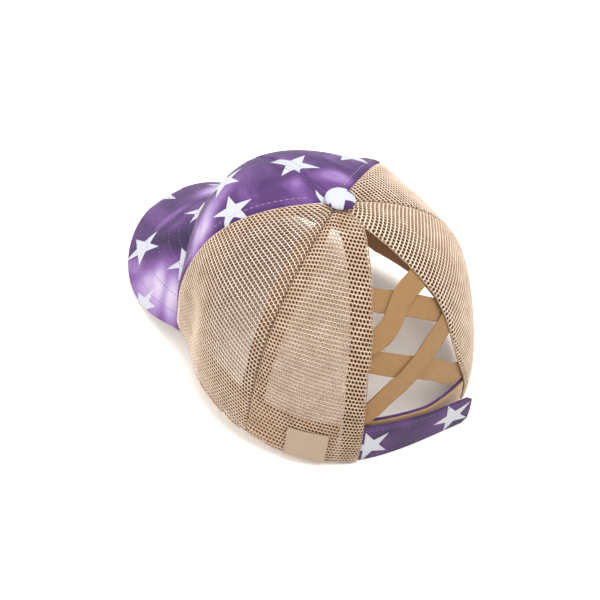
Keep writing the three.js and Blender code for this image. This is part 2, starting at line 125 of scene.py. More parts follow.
# Dents (push below 0) and bulges: bearing, height, spread in degrees, spread up as a share, push
softForm = [
    (-29, 0.02, 15, 0.14, 1.3),
    (70, 0.0, 30, 0.12, 0.4),
    (126, 0.03, 8, 0.14, 0.6),
    (112, 0.04, 8, 0.16, -0.7),
    (180, 0.45, 17, 0.25, 0.9),
    (-145, 0.53, 16, 0.2, -0.55),
    (-118, 0.5, 10, 0.2, 1.3),
    (-92, 0.42, 15, 0.2, -0.85),
    (-67, 0.26, 9, 0.16, 0.3),
]

# The peak
peak = {
    "reach": 99.5 * mm,
    "thickness": 3.0 * mm,
    "halfAngle": 58.8,
    "squareness": 2.5,
    "swing": 1.6 * mm,
    "rounding": 0.03,  # of its edge, as a share of its depth
    "edge": 1.3 * mm,
    "columns": 120,
    "rows": 60,
    "samples": 121,  # each way, to find where it touches the floor
    "profileSteps": 400,
    "profileWidth": 1.1 * crown["halfWidth"],  # a little past the peak's side
}


def lerp(a, b, share):
    return a + (b - a) * share


def smooth(value, low, high):
    share = np.clip((value - low) / (high - low), 0, 1)
    return share * share * (3 - 2 * share)


def aroundTo(bearing, other):  # the way round from one bearing to another, from -180 to 180
    return (bearing - other + 180) % 360 - 180


def roundValue(values, bearing):
    back, side, front = values
    c = np.cos(np.radians(bearing))
    return side + (back - front) / 2 * c + ((back + front) / 2 - side) * c * c


def fromFront(bearing):
    return 180 - np.abs(aroundTo(bearing, 0))


def rimHeight(bearing):
    climb = 0.5 * (1 - np.cos(np.radians(bearing)))
    aside = np.clip(fromFront(bearing) / peak["halfAngle"], 0, 1) * peak["halfAngle"]
    across = np.sin(np.radians(aside)) / math.sin(math.radians(peak["halfAngle"]))
    arch = 1 - across**2
    return crown["rimClimb"] * climb + crown["rimArch"] * 0.5 * (arch + arch * arch * (3 - 2 * arch))


def clothEdge(bearing):
    beside = smooth(fromFront(bearing) - peak["halfAngle"], *crown["besidePeak"])
    return rimHeight(bearing) + (peak["thickness"] / 2 + walls["gap"]) * (1 - beside)


def softPush(bearing, height):
    b = aroundTo(bearing, 0)
    panel = np.clip(np.searchsorted(seamLine, b, side="left") - 1, 0, len(seamLine) - 2)
    across = np.clip((b - seamLine[panel]) / (seamLine[panel + 1] - seamLine[panel]), 0, 1)
    push = crown["puff"] * (np.sin(np.pi * across) ** 2 - 0.5) * np.sin(np.pi * np.clip(height, 0, 1))
    for middle, middleHeight, spread, tall, depth in softForm:
        aside = aroundTo(b, middle) / spread
        above = (height - middleHeight) / tall
        push = push + crown["dent"] * depth * np.exp(-aside * aside - above * above)
    return push


def crownLength(bearing):  # half the crown's length on the bearing's side
    return np.where(np.cos(np.radians(bearing)) > 0, crown["back"], crown["front"])


def crownPoint(bearing, height, out=0.0, soft=True):  # a point of the crown's outer face
    bearing, height = np.broadcast_arrays(np.asarray(bearing, float), np.asarray(height, float))
    b = np.radians(bearing)
    turn = np.clip(height, 0, 1) * math.pi / 2
    inward = np.cos(turn) ** (2 / roundValue(crown["planPower"], bearing))
    upward = np.sin(turn) ** (2 / roundValue(crown["domePower"], bearing))
    push = (softPush(bearing, height) if soft else 0) + out
    edge = clothEdge(bearing)
    x = (crown["halfWidth"] * inward + push) * np.sin(b)
    y = (crownLength(bearing) * inward + push) * np.cos(b) - crown["apexForward"] * (1 - inward)
    return np.stack([x, y, edge + (crown["height"] - edge) * upward], axis=-1)


def unit(vectors):
    return vectors / np.maximum(np.linalg.norm(vectors, axis=-1, keepdims=True), 1e-12)


def crownNormal(bearing, height, turn=0.2, step=0.004):
    along = crownPoint(bearing + turn, height) - crownPoint(bearing - turn, height)
    above = crownPoint(bearing, height + step) - crownPoint(bearing, np.maximum(height - step, 0))
    return unit(np.cross(above, along))


def underCrown(bearing, height, depth):
    depth = np.asarray(depth)[..., None] if np.ndim(depth) else depth
    return crownPoint(bearing, height) - crownNormal(bearing, height) * depth


def heightAt(bearing, z):  # the height at which the crown's face reaches z
    edge = clothEdge(bearing)
    upward = np.clip((z - edge) / (crown["height"] - edge), 0, 1)
    return np.arcsin(upward ** (roundValue(crown["domePower"], bearing) / 2)) * 2 / math.pi


def heightAtRadius(bearing, radius):
    b = np.radians(bearing)
    reach = np.hypot(crown["halfWidth"] * np.sin(b), crownLength(bearing) * np.cos(b))
    return 1 - 2 / math.pi * np.arcsin((radius / reach) ** (roundValue(crown["planPower"], bearing) / 2))


def crownRadius(bearing, height):  # from the frame's upright axis to the crown's face
    return np.hypot(*np.moveaxis(crownPoint(bearing, height)[..., :2], -1, 0))


# Half-width of the back opening at each height, as shares of its half-width at the lower edge
opening = {
    "halfWidth": 45.0 * mm,
    "height": [0.0, 0.06, 0.165, 0.27, 0.37, 0.47, 0.56, 0.65, 0.72, 0.78, 0.82, 0.85],
    "left": [1.006, 1.016, 1.034, 1.03, 0.975, 0.912, 0.844, 0.72, 0.578, 0.39, 0.22, 0.0],
    "right": [0.82, 0.75, 0.625, 0.56, 0.566, 0.557, 0.494, 0.406, 0.328, 0.215, 0.12, 0.0],
}


def openingBearing(height, side):
    widest = math.degrees(opening["halfWidth"] / crown["back"])
    reach = widest * np.interp(height, opening["height"], opening[side])
    return seam["backCentre"] + (reach if side == "left" else -reach)


# A panel's flat cut: x runs across it from its centre line, y up that line
flatCut = {
    "steps": 401,
    "evened": 8,  # steps on each side over which the lean is averaged
    "passes": 14,
    "haste": 0.8,  # share of an error that one pass mends
    "widest": 1.2,  # radians from the centre line
    "leastRadius": 2 * mm,
    "startRadius": 0.1 * mm,  # least radius for the first guess
}


def makeGore(centre):
    heights = np.linspace(0, 1, flatCut["steps"])
    line = crownPoint(centre, heights, soft=False)
    arc = np.concatenate([[0], np.cumsum(np.linalg.norm(np.diff(line, axis=0), axis=1))])
    beside = crownPoint(centre + 1, heights, soft=False) - crownPoint(centre - 1, heights, soft=False)
    radius = np.linalg.norm(beside[:, :2], axis=1) / math.radians(2)
    lean = np.clip(-np.gradient(radius, np.maximum(arc, np.arange(flatCut["steps"]) * 1e-9)), 0, 1)
    span = 2 * flatCut["evened"] + 1
    lean = np.convolve(np.pad(lean, flatCut["evened"], mode="edge"), np.ones(span) / span, mode="valid")
    return {"centre": centre, "heights": heights, "arc": arc, "radius": radius, "lean": lean}


def fromCentreLine(gore, turn, height):  # how far across the flat cut and up it, and the radius
    radius = np.interp(height, gore["heights"], gore["radius"])
    theta = turn * np.interp(height, gore["heights"], gore["lean"])
    rise = radius * turn * theta / 2 * np.sinc(theta / 2 / np.pi) ** 2
    return radius * turn * np.sinc(theta / np.pi), rise, radius


def toFlat(gore, bearing, height):
    x, rise, _ = fromCentreLine(gore, np.radians(aroundTo(bearing, gore["centre"])), height)
    return x, np.interp(height, gore["heights"], gore["arc"]) + rise


def fromFlat(gore, x, y):
    height = np.interp(y, gore["arc"], gore["heights"])
    widest = flatCut["widest"]
    radius = np.interp(height, gore["heights"], gore["radius"]).clip(flatCut["startRadius"])
    turn = np.clip(x / radius, -widest, widest)
    for _ in range(flatCut["passes"]):
        found, rise, radius = fromCentreLine(gore, turn, height)
        height = np.interp(y - rise, gore["arc"], gore["heights"])
        mend = flatCut["haste"] * (x - found) / np.maximum(radius, flatCut["leastRadius"])
        turn = np.clip(turn + mend, -widest, widest)
    return gore["centre"] + np.degrees(turn), height


# Mesh helpers. An edge that turns more than these angles is rounded, or is shaded as an edge
sharp = {
    "rounded": math.radians(50),
    "cloth": math.radians(60),
    "button": math.radians(50),
    "stitch": math.radians(40),
}
weld = 0.01 * mm  # corners closer than this become one


def emptyMesh(name, points, faces):
    mesh = bpy.data.meshes.new(name)
    mesh.from_pydata([tuple(p) for p in points], [], [tuple(f) for f in faces])
    mesh.update()
    piece = bpy.data.objects.new(name, mesh)
    bpy.context.scene.collection.objects.link(piece)
    return piece


def pick(piece):
    bpy.ops.object.select_all(action="DESELECT")
    piece.select_set(True)
    bpy.context.view_layer.objects.active = piece


def applied(piece, kind, **settings):  # adds a modifier and applies it
    pick(piece)
    modifier = piece.modifiers.new(kind.lower(), kind)
    for name, value in settings.items():
        setattr(modifier, name, value)
    bpy.ops.object.modifier_apply(modifier=modifier.name)


def keep(piece, material, replaced=()):
    if not piece.data.materials:
        piece.data.materials.append(material)
    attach(piece, "root")
    if replaced:
        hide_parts(*replaced)
    return piece


def clothSheet(name, form, shape, edgeSteps=2, faced=()):
    # a flat grid, laid out by shape(across, up), given its wall and rounded edges; faced is an
    # outer and an inner material
    bpy.ops.object.select_all(action="DESELECT")
    bpy.ops.mesh.primitive_grid_add(x_subdivisions=form["columns"], y_subdivisions=form["rows"], size=1)
    piece = bpy.context.object
    mesh = piece.data
    piece.name = mesh.name = name
    flat = np.empty(len(mesh.vertices) * 3)
    mesh.vertices.foreach_get("co", flat)
    flat = flat.reshape(-1, 3)
    points, cloth = shape(flat[:, 0] + 0.5, flat[:, 1] + 0.5)
    mesh.vertices.foreach_set("co", points.astype(np.float32).ravel())
    mesh.uv_layers[0].name = "cloth"
    at = np.empty(len(mesh.loops), dtype=np.int32)
    mesh.loops.foreach_get("vertex_index", at)
    mesh.uv_layers[0].data.foreach_set("uv", cloth[at].astype(np.float32).ravel())
    mesh.update()
    corners = cloth[at].reshape(-1, 4, 2)
    ahead = np.roll(corners, -1, axis=1)
    piece["width"], piece["length"] = (float(size) for size in np.ptp(cloth, axis=0))
    turned = corners[..., 0] * ahead[..., 1] - ahead[..., 0] * corners[..., 1]
    piece["area"] = float(np.abs(turned.sum(axis=-1)).sum() / 2)
    for material in faced:
        mesh.materials.append(material)
    inner = 1 if faced else 0
    applied(piece, "SOLIDIFY", thickness=form["thickness"], offset=-1, use_even_offset=True,
            material_offset=inner)
    if form["edge"]:
        applied(piece, "BEVEL", width=form["edge"], segments=edgeSteps, limit_method="ANGLE",
                angle_limit=sharp["rounded"])
    pick(piece)
    bpy.ops.object.shade_smooth_by_angle(angle=sharp["cloth"])
    return piece


def sewSheet(name, form, shape, material, slot, replaced=(), held="stretched", restsOn=(), **finish):
    piece = clothSheet(name, form, shape, **finish)
    keep(piece, material, replaced)


# Materials
def linear(code):
    parts = [int(code[i : i + 2], 16) / 255 for i in (1, 3, 5)]
    return [*(p / 12.92 if p <= 0.04045 else ((p + 0.055) / 1.055) ** 2.4 for p in parts), 1.0]


def addNode(tree, kind, links=None, ramp=None, **settings):
    node = tree.nodes.new(kind)
    for name, value in settings.items():
        setattr(node, name, value)
    for socket, value in (links or {}).items():
        if isinstance(value, bpy.types.NodeSocket):
            tree.links.new(value, node.inputs[socket])
        else:
            node.inputs[socket].default_value = value
    if ramp:
        stops = node.color_ramp.elements
        while len(stops) < len(ramp):
            stops.new(0.5)
        for stop, (place, code) in zip(stops, ramp):
            stop.position = place
            stop.color = linear(code)
    return node


def calculate(tree, operation, *values):
    return addNode(tree, "ShaderNodeMath", dict(enumerate(values)), operation=operation).outputs[0]


def calculateVector(tree, operation, *values):
    return addNode(tree, "ShaderNodeVectorMath", dict(enumerate(values)), operation=operation).outputs[0]


def reachOf(tree, vector):
    return addNode(tree, "ShaderNodeVectorMath", {0: vector}, operation="LENGTH").outputs["Value"]


def rescale(tree, value, lowFrom, highFrom, lowTo, highTo, **settings):
    ends = {"From Min": lowFrom, "From Max": highFrom, "To Min": lowTo, "To Max": highTo}
    return addNode(tree, "ShaderNodeMapRange", {"Value": value, **ends}, **settings).outputs[0]


def clouds(tree, place, size, detail, **more):
    links = {"Vector": place, "Scale": 1 / size, "Detail": detail, **more}
    return addNode(tree, "ShaderNodeTexNoise", links).outputs["Fac"]


def threads(tree, cloth, pitch, direction, unevenness):
    # the wave texture repeats 20 / 2 pi times in a length of 1
    links = {"Vector": cloth, "Scale": 2 * math.pi / 20 / pitch, "Distortion": unevenness}
    return addNode(tree, "ShaderNodeTexWave", links, bands_direction=direction).outputs["Fac"]


def shades(tree, value, ramp):
    return addNode(tree, "ShaderNodeValToRGB", {"Fac": value}, ramp=ramp).outputs["Color"]


def relief(tree, height, distance, strength, **under):
    links = {"Height": height, "Distance": distance, "Strength": strength, **under}
    return addNode(tree, "ShaderNodeBump", links).outputs[0]


def newMaterial(name, roughness, sheen=0.0, specular=0.3):
    material = bpy.data.materials.new(name)
    material.use_nodes = True
    looks = {"Roughness": roughness, "Sheen Weight": sheen, "Specular IOR Level": specular}
    for socket, value in looks.items():
        material.node_tree.nodes["Principled BSDF"].inputs[socket].default_value = value
    return material, material.node_tree


def finished(material, color, normal):
    tree = material.node_tree
    for socket, value in (("Base Color", color), ("Normal", normal)):
        tree.links.new(value, tree.nodes["Principled BSDF"].inputs[socket])
    return material


print("helpers ready")

# The plainer cloths: how far mottling changes the shade, how far the standing yarn does so (as painted
# highlight and shade on the net, as the weave's pattern on the woven cloths), and their relief
yarns = {
    "netMottle": 0.4,
    "netMottleSize": 7 * mm,
    # how strongly the net shows its painted highlight on raised yarn and painted shade at the hole rims
    "netPaintedShade": 0.7,
    "netFuzz": 0.08 * mm,
    "netFuzzSize": 0.25 * mm,
    "wovenMottle": 0.35,
    "wovenMottleSize": 5 * mm,
    "wovenStanding": 0.6,
    "wovenRise": 0.12 * mm,
    "wovenUnevenness": 0.6,
    "twistSize": 0.5 * mm,
    "twistRise": 0.05 * mm,
}

# Printed cotton: purple tie-dye in soft clouds, with plain white stars printed over it
cotton = {
    "dye": [(0.0, "#2B1A3E"), (0.28, "#472B5B"), (0.48, "#67457C"), (0.68, "#846B9C"), (1.0, "#B3A6BA")],
    "baseDye": 0.25,
    "cloud": 0.34,  # how far the dye's clouds change it
    "cloudSize": 26 * mm,
    "cloudEnds": (0.3, 0.7),  # values of the clouds between which the dye changes
    "washEdge": (1.55, 0.45),  # how far out, as the clouds roughen it, a wash starts and is full
    "frayed": 0.7,  # how far the clouds fray a wash's edge
    "grainSize": 1.3 * mm,
    "grain": 0.12,
    "slub": 0.25 * mm,
    "star": "#A9ABB3",
    "starEdge": 0.25 * mm,
    "thread": 0.55 * mm,  # the weave's pitch
    "threadRise": 0.05 * mm,
    "notch": math.radians(36),
    "tipHalf": math.radians(18),  # half the angle of a star's tip
}


def makeStarGroup():
    # one five-pointed star: 1 inside it, 0 outside, on the flat cloth
    group = bpy.data.node_groups.new("star", "ShaderNodeTree")
    for name, kind in [("Cloth", "Vector"), ("Middle", "Vector"), ("Turn", "Float"), ("Reach", "Float")]:
        group.interface.new_socket(name, in_out="INPUT", socket_type="NodeSocket" + kind)
    group.interface.new_socket("Mask", in_out="OUTPUT", socket_type="NodeSocketFloat")
    given = addNode(group, "NodeGroupInput").outputs
    away = calculateVector(group, "SUBTRACT", given["Cloth"], given["Middle"])
    parts = addNode(group, "ShaderNodeSeparateXYZ", {0: away}).outputs
    turned = calculate(group, "SUBTRACT", calculate(group, "ARCTAN2", parts["Y"], parts["X"]), given["Turn"])
    leaned = calculate(group, "ADD", calculate(group, "PINGPONG", turned, cotton["notch"]), cotton["tipHalf"])
    across = calculate(group, "MULTIPLY", reachOf(group, away), calculate(group, "SINE", leaned))
    limit = calculate(group, "MULTIPLY", given["Reach"], math.sin(cotton["tipHalf"]))
    half = cotton["starEdge"] / 2
    edge = rescale(group, calculate(group, "SUBTRACT", limit, across), -half, half, 0.0, 1.0)
    group.links.new(edge, addNode(group, "NodeGroupOutput").inputs["Mask"])
    return group


starGroup = makeStarGroup()


def washed(tree, cloth, cloud, dye, wash):  # an oval of paler dye, or darker below 0
    x, y, long, wide, turn, pale = wash
    turn = -math.radians(turn)
    middle = Matrix.Rotation(turn, 2) @ Vector((x, y))
    # Mapping scales before it turns, so the oval is turned by a node of its own
    turned = addNode(tree, "ShaderNodeVectorRotate", {"Vector": cloth, "Angle": turn}, rotation_type="Z_AXIS")
    oval = addNode(tree, "ShaderNodeMapping", {
        "Vector": turned.outputs[0],
        "Scale": (1 / (long * mm), 1 / (wide * mm), 0),
        "Location": (-middle[0] / long, -middle[1] / wide, 0),
    })
    rough = calculate(tree, "MULTIPLY_ADD", cloud, cotton["frayed"], reachOf(tree, oval.outputs[0]))
    stain = rescale(tree, rough, *cotton["washEdge"], 0.0, pale, interpolation_type="SMOOTHERSTEP")
    return calculate(tree, "ADD", dye, stain)


def newCotton(name, stars, washes, seed):
    # on the flat cloth, in mm, a star is its x, y, reach and turn, and a wash is its x, y, half length,
    # half width, turn and paleness
    material, tree = newMaterial(name, 0.88, sheen=0.12, specular=0.15)
    cloth = addNode(tree, "ShaderNodeUVMap", uv_map="cloth").outputs["UV"]
    moved = calculateVector(tree, "ADD", cloth, (seed, seed * 0.7, seed))
    cloud = clouds(tree, moved, cotton["cloudSize"], 3.0, Roughness=0.45, Distortion=0.9)
    half = cotton["cloud"] / 2
    dye = rescale(tree, cloud, *cotton["cloudEnds"], cotton["baseDye"] - half, cotton["baseDye"] + half)
    for wash in washes:
        dye = washed(tree, cloth, cloud, dye, wash)
    grain = clouds(tree, cloth, cotton["grainSize"], 2.0)
    speckled = calculate(tree, "MULTIPLY_ADD", grain, cotton["grain"], dye)
    color = shades(tree, calculate(tree, "SUBTRACT", speckled, cotton["grain"] / 2), cotton["dye"])
    for x, y, reach, turn in stars:
        links = {"Cloth": cloth, "Middle": (x * mm, y * mm, 0)}
        links.update({"Reach": reach * mm, "Turn": math.radians(turn)})
        mask = addNode(tree, "ShaderNodeGroup", links, node_tree=starGroup).outputs["Mask"]
        color = addNode(tree, "ShaderNodeMix", {"Factor": mask, "A": color, "B": linear(cotton["star"])},
                        data_type="RGBA").outputs["Result"]
    warp, weft = (threads(tree, cloth, cotton["thread"], direction, 0.5) for direction in "XY")
    weave = relief(tree, calculate(tree, "ADD", warp, weft), cotton["threadRise"], 0.5)
    return finished(material, color, relief(tree, grain, cotton["slub"], 0.5, Normal=weave))


def newNet():
    # knitted polyester net: pale as painted highlight where the yarn stands up, tan as painted shade down in
    # the holes, over a random mottle
    material, tree = newMaterial("knitted polyester net", 0.55, specular=0.35)
    yarnShade = addNode(tree, "ShaderNodeAttribute", attribute_name="yarnShade").outputs["Fac"]
    place = addNode(tree, "ShaderNodeTexCoord").outputs["Object"]
    mottle = calculate(tree, "MULTIPLY", clouds(tree, place, yarns["netMottleSize"], 3.0), yarns["netMottle"])
    color = shades(tree, calculate(tree, "MULTIPLY_ADD", yarnShade, yarns["netPaintedShade"], mottle),
                   [(0.1, "#7C5F47"), (0.4, "#A58A72"), (0.7, "#C9B7A5"), (1.0, "#E0D6CA")])
    fuzz = clouds(tree, place, yarns["netFuzzSize"], 1.0)
    return finished(material, color, relief(tree, fuzz, yarns["netFuzz"], 0.6))


def newWoven(name, dark, light, pitch, roughness, ribs=0.0, sheen=0.1):
    # plain cloth with a weave of the given pitch, or with ribs of another pitch along its length
    material, tree = newMaterial(name, roughness, sheen=sheen, specular=0.2)
    cloth = addNode(tree, "ShaderNodeUVMap", uv_map="cloth").outputs["UV"]
    warp = threads(tree, cloth, pitch, "X", yarns["wovenUnevenness"])
    weft = threads(tree, cloth, ribs or pitch, "Y", yarns["wovenUnevenness"])
    weave = calculate(tree, "MULTIPLY", warp, weft)
    cloud = clouds(tree, cloth, yarns["wovenMottleSize"], 5.0, Roughness=0.6)
    mottle = calculate(tree, "MULTIPLY", cloud, yarns["wovenMottle"])
    shade = calculate(tree, "MULTIPLY_ADD", weave, yarns["wovenStanding"], mottle)
    color = shades(tree, shade, [(0.1, dark), (0.7, light)])
    return finished(material, color, relief(tree, weave, yarns["wovenRise"], 0.6))


def newThread(name, dark, light):
    # sewing thread: two shades, twisted along the dashes
    material, tree = newMaterial(name, 0.6, sheen=0.2)
    place = addNode(tree, "ShaderNodeTexCoord").outputs["Object"]
    twist = clouds(tree, place, yarns["twistSize"], 2.0)
    color = shades(tree, twist, [(0.35, dark), (0.65, light)])
    return finished(material, color, relief(tree, twist, yarns["twistRise"], 1.0))


netMaterial = newNet()
tapeMaterial = newWoven("cotton twill tape", "#80614A", "#A08065", 0.7 * mm, 0.85)
# the hems' dark brown is painted shade of the doubled net at the opening's edge
hemShadeMaterial = newWoven("hem tape in painted shade", "#462F1F", "#664934", 0.7 * mm, 0.85)
# near-black inner face of the front panels: painted shade for the dark inside of the crown
innerShadeMaterial = newWoven("near-black inner face in painted shade", "#161013", "#2A2125", 0.9 * mm, 0.9)
sweatMaterial = newWoven("brushed sweatband cloth", "#9A6F4B", "#B98C65", 0.8 * mm, 0.95, sheen=0.3)
elasticMaterial = newWoven("woven elastic", "#775937", "#95734A", 0.75 * mm, 0.7, ribs=1.15 * mm)
hookMaterial = newWoven("hook-and-loop tape", "#8E6B45", "#AC875B", 1.1 * mm, 0.95, sheen=0.4)
labelMaterial = newWoven("faux suede", "#897561", "#A5907B", 0.9 * mm, 0.95, sheen=0.3)
seamThread = newThread("lilac sewing thread", "#836A86", "#A08A9C")
cottonThread = newThread("purple sewing thread", "#4A3460", "#6B5283")
brownThread = newThread("brown sewing thread", "#553A2B", "#765442")
patchThread = newThread("tan sewing thread", "#8A7355", "#A38D70")
print("materials made")

# Front panels: cotton sheets that dip into their seams
frontPanels = {
    "seamDip": 0.9 * mm,
    "seamWidth": 1.0 * mm,
    "columns": 90,
    "rows": 110,
    "sideCrowding": 0.85,  # share of the columns' spacing that crowds towards the sides
    "thickness": walls["cotton"],
    "edge": 0.3 * mm,
}


def seamDepth(bearing, height, low, high):  # how far the cloth dips at the seams on its two sides
    near = np.radians(np.minimum(np.abs(bearing - low), np.abs(high - bearing)))
    aside = near * crownRadius(bearing, height) / frontPanels["seamWidth"]
    return frontPanels["seamDip"] * np.exp(-(aside**2))


def frontShape(low, high, gore):
    def shape(across, up):
        spread = lerp(across, 0.5 - 0.5 * np.cos(np.pi * across), frontPanels["sideCrowding"])
        bearing = lerp(high, low, spread)
        height = up * heightAtRadius(bearing, crown["apexHole"])
        x, y = toFlat(gore, bearing, height)
        return underCrown(bearing, height, seamDepth(bearing, height, low, high)), np.stack([x, y], axis=-1)

    return shape


frontSides = {
    "front_panel_left": (seam["frontLeft"], 180.0),
    "front_panel_right": (-180.0, seam["frontRight"]),
}
# The print: stars, washes and the dye's seed. Flat cloth x runs with the bearing, y up from the peak
frontPrint = {
    "front_panel_left": (
        [
            (-21.0, 66.0, 12.6, 51),
            (22.1, 91.0, 14.6, 46),
            (-8.9, 116.1, 13.6, 43),
            (6.0, 52.0, 13.5, 36),
            (8.0, 28.0, 12.6, 12),
        ],
        [
            (-22, 45, 44, 11, 31, 0.46),
            (-30, 50, 12, 9, 0, 0.3),
            (5, 98, 9, 6, 0, 0.16),
            (-4, 84, 20, 14, 20, -0.14),
        ],
        0.31,
    ),
    "front_panel_right": (
        [
            (-20.0, 94.0, 14.6, 16),
            (16.4, 70.5, 14.6, 52),
            (-12.0, 52.0, 12.6, 40),
            (20.0, 30.0, 12.6, 5),
        ],
        [
            (2, 104, 15, 9, 0, 0.42),
            (0, 30, 30, 12, -25, 0.5),
        ],
        0.52,
    ),
}


def makeFronts():
    for name, (low, high) in frontSides.items():
        shape = frontShape(low, high, makeGore((low + high) / 2))
        printed = newCotton(name + " cotton", *frontPrint[name])
        # the inner face takes the near-black painted shade
        sewSheet(name.replace("panel", "cotton"), frontPanels, shape, printed, "printed_cotton", [name],
                 faced=(printed, innerShadeMaterial))


# Peak: a point in plan from the crown's inner face (along 0) to the peak's edge (along 1)
def peakPlan(across, along):
    halfAngle = math.radians(peak["halfAngle"])
    inner = crownPoint(180 - across * peak["halfAngle"], 0, -walls["cotton"])
    turn = across * math.pi / 2
    power = 2 / peak["squareness"]
    swing = peak["swing"] * np.cos(turn) ** power
    edgeX = crown["halfWidth"] * math.sin(halfAngle) * np.sign(turn) * np.abs(np.sin(turn)) ** power + swing
    edgeY = -crown["front"] * math.cos(halfAngle) - peak["reach"] * np.cos(turn) ** power
    return lerp(inner[..., 0], edgeX, along), lerp(inner[..., 1], edgeY, along)


def peakAside(x):
    widest = math.sin(math.radians(peak["halfAngle"]))
    return np.degrees(np.arcsin(np.clip(np.abs(x) / crown["halfWidth"], 0, widest)))


def peakMiddle(across, along):  # seam height and run forward of the seam
    x, y = peakPlan(across, along)
    aside = peakAside(x)
    line = lerp(rimHeight(180 - across * peak["halfAngle"]), rimHeight(180 - aside), along)
    run = np.maximum(-crown["front"] * np.cos(np.radians(aside)) - y, 0)
    return x, y, line, run


def peakFall():  # the slope at which the peak's sides touch the floor
    across, along = np.meshgrid(np.linspace(-1, 1, peak["samples"]), np.linspace(0, 1, peak["samples"]))
    _, _, line, run = peakMiddle(across, along)
    left = np.clip((1 - along) / peak["rounding"], 0, 1)
    half = peak["thickness"] / 2 * np.sqrt(1 - (1 - left) ** 2)
    ahead = run > peak["thickness"]
    return np.min((line - half)[ahead] / run[ahead])


peakSlope = peakFall()
peakX = np.linspace(0, peak["profileWidth"], peak["profileSteps"])
peakZ = rimHeight(180 - peakAside(peakX)) + peakSlope * crown["front"] * np.cos(np.radians(peakAside(peakX)))
peakArc = np.concatenate([[0], np.cumsum(np.hypot(np.diff(peakX), np.diff(peakZ)))])


def peakShape(across, up):
    side, along = 2 * across - 1, 1 - up
    x, y, line, run = peakMiddle(side, along)
    top = np.stack([x, y, line - peakSlope * run + peak["thickness"] / 2], axis=-1)
    aside = np.sign(x) * np.interp(np.abs(x), peakX, peakArc)
    return top, np.stack([aside, y * math.hypot(1, peakSlope)], axis=-1)


peakPrint = (
    [
        (53.4, -130.0, 14.0, 35),
        (14.5, -113.5, 12.8, 14),
        (52.2, -83.8, 14.1, 24),
        (87.2, -96.2, 12.4, 25),
        (10.7, -164.1, 14.0, 21),
        (-24.0, -142.0, 12.8, 20),
        (-58.0, -120.0, 12.8, 5),
        (-34.0, -100.0, 12.8, 50),
        (-76.0, -84.0, 12.8, 33),
    ],
    [
        (-14, -138, 24, 12, 10, 0.5),
        (27, -132, 19, 5, 0, 0.3),
        (40, -106, 26, 18, -25, -0.2),
        (76, -92, 28, 34, -20, 0.46),
        (66, -128, 8, 14, 0, 0.35),
        (81, -69, 28, 9, 40, 0.44),
        (70, -94, 22, 6, 40, 0.18),
        (74, -112, 10, 26, 8, 0.14),
        (-60, -95, 30, 16, 40, 0.45),
    ],
    0.13,
)


def makePeak():
    sheet = clothSheet("peak_cotton", peak, peakShape, 4)
    keep(sheet, newCotton("peak cotton", *peakPrint), ["peak"])


makeFronts()
makePeak()
print("front panels and peak made")

# Trucker net: rows of staggered six-sided cells, each with a hole
net = {
    "pitch": 1.95 * mm,  # from hole to hole along a row
    "row": 2.35 * mm,
    "zig": 0.12,  # share of a row by which the row lines zigzag
    "loop": 0.3 * mm,
    "part": 0.9 * mm,  # cells whose middle lies this far past a sewn edge are folded in at it
    "wale": 0.4 * mm,
    # link, back and each panel's pale set the yarn's painted highlight and shade; the hole rims get 0, the
    # darkest painted shade
    "link": 0.34,  # how pale the yarn is between two raised rows
    "back": 0.4,  # and on the inner face
    "reach": 130 * mm,  # of the rows from a flat cut's middle
    "stray": 6 * mm,  # corners may lie this far outside the flat cut
    "topGap": 1e-4,  # height left free under the hole at the crown's top
}
# A panel's sides, the bearing at its flat cut's centre line, the tilt of its rows there, the size
# of its holes as a share of a cell, and how pale its raised rows are painted; the left back panel's
# lower value is painted shade, darkening that whole panel as if less light fell on it
netPanels = {
    "side_panel_left": {"low": seam["backLeft"], "high": seam["frontLeft"], "centre": 99.2, "tilt": 11,
                        "hole": 0.68, "pale": 1.0},
    "side_panel_right": {"low": seam["frontRight"], "high": seam["backRight"], "centre": -93.8, "tilt": -23,
                         "hole": 0.62, "pale": 1.0},
    "back_panel_left": {"low": "left", "high": seam["backLeft"], "centre": 40.0, "tilt": -3, "hole": 0.52,
                        "pale": 0.6},
    "back_panel_right": {"low": seam["backRight"], "high": "right", "centre": -47.0, "tilt": 12, "hole": 0.54,
                         "pale": 1.0},
}


def sideAt(side, height):
    return openingBearing(height, side) if isinstance(side, str) else np.full_like(height, side)


def netLattice(gore, tilt):
    # the cells' corners on the flat cut, in tilted rows that zigzag a little
    half, row = net["pitch"] / 2, net["row"]
    columns, rows = int(net["reach"] / half), int(net["reach"] / row)
    i, j = np.meshgrid(np.arange(-columns, columns + 1), np.arange(-rows, rows + 1))
    even = (i + j) % 2 == 0
    p, q = i * half, j * row + net["zig"] * row * np.where(even, -1, 1)
    turn = math.radians(tilt)
    x = p * math.cos(turn) - q * math.sin(turn)
    y = p * math.sin(turn) + q * math.cos(turn) + gore["arc"][-1] / 2
    return x, y, even


def cellsInside(gore, panel, x, y, bearing, height):
    # a cell's middle is half a row above the lattice point under it
    backX, backY = toFlat(gore, bearing, height)
    sound = np.hypot(backX - x, backY - y) < net["stray"]
    bearing, height, y = ((corners[:-1] + corners[1:]) / 2 for corners in (bearing, height, y))
    radius = np.interp(height, gore["heights"], gore["radius"]).clip(flatCut["leastRadius"])
    past = np.degrees(net["part"] / radius)
    return (
        sound[:-1] & sound[1:]
        & (bearing > sideAt(panel["low"], height) - past)
        & (bearing < sideAt(panel["high"], height) + past)
        & (y > toFlat(gore, bearing, 0 * height)[1] - net["part"])
        & (height < heightAtRadius(bearing, crown["apexHole"]) - net["topGap"])
    )


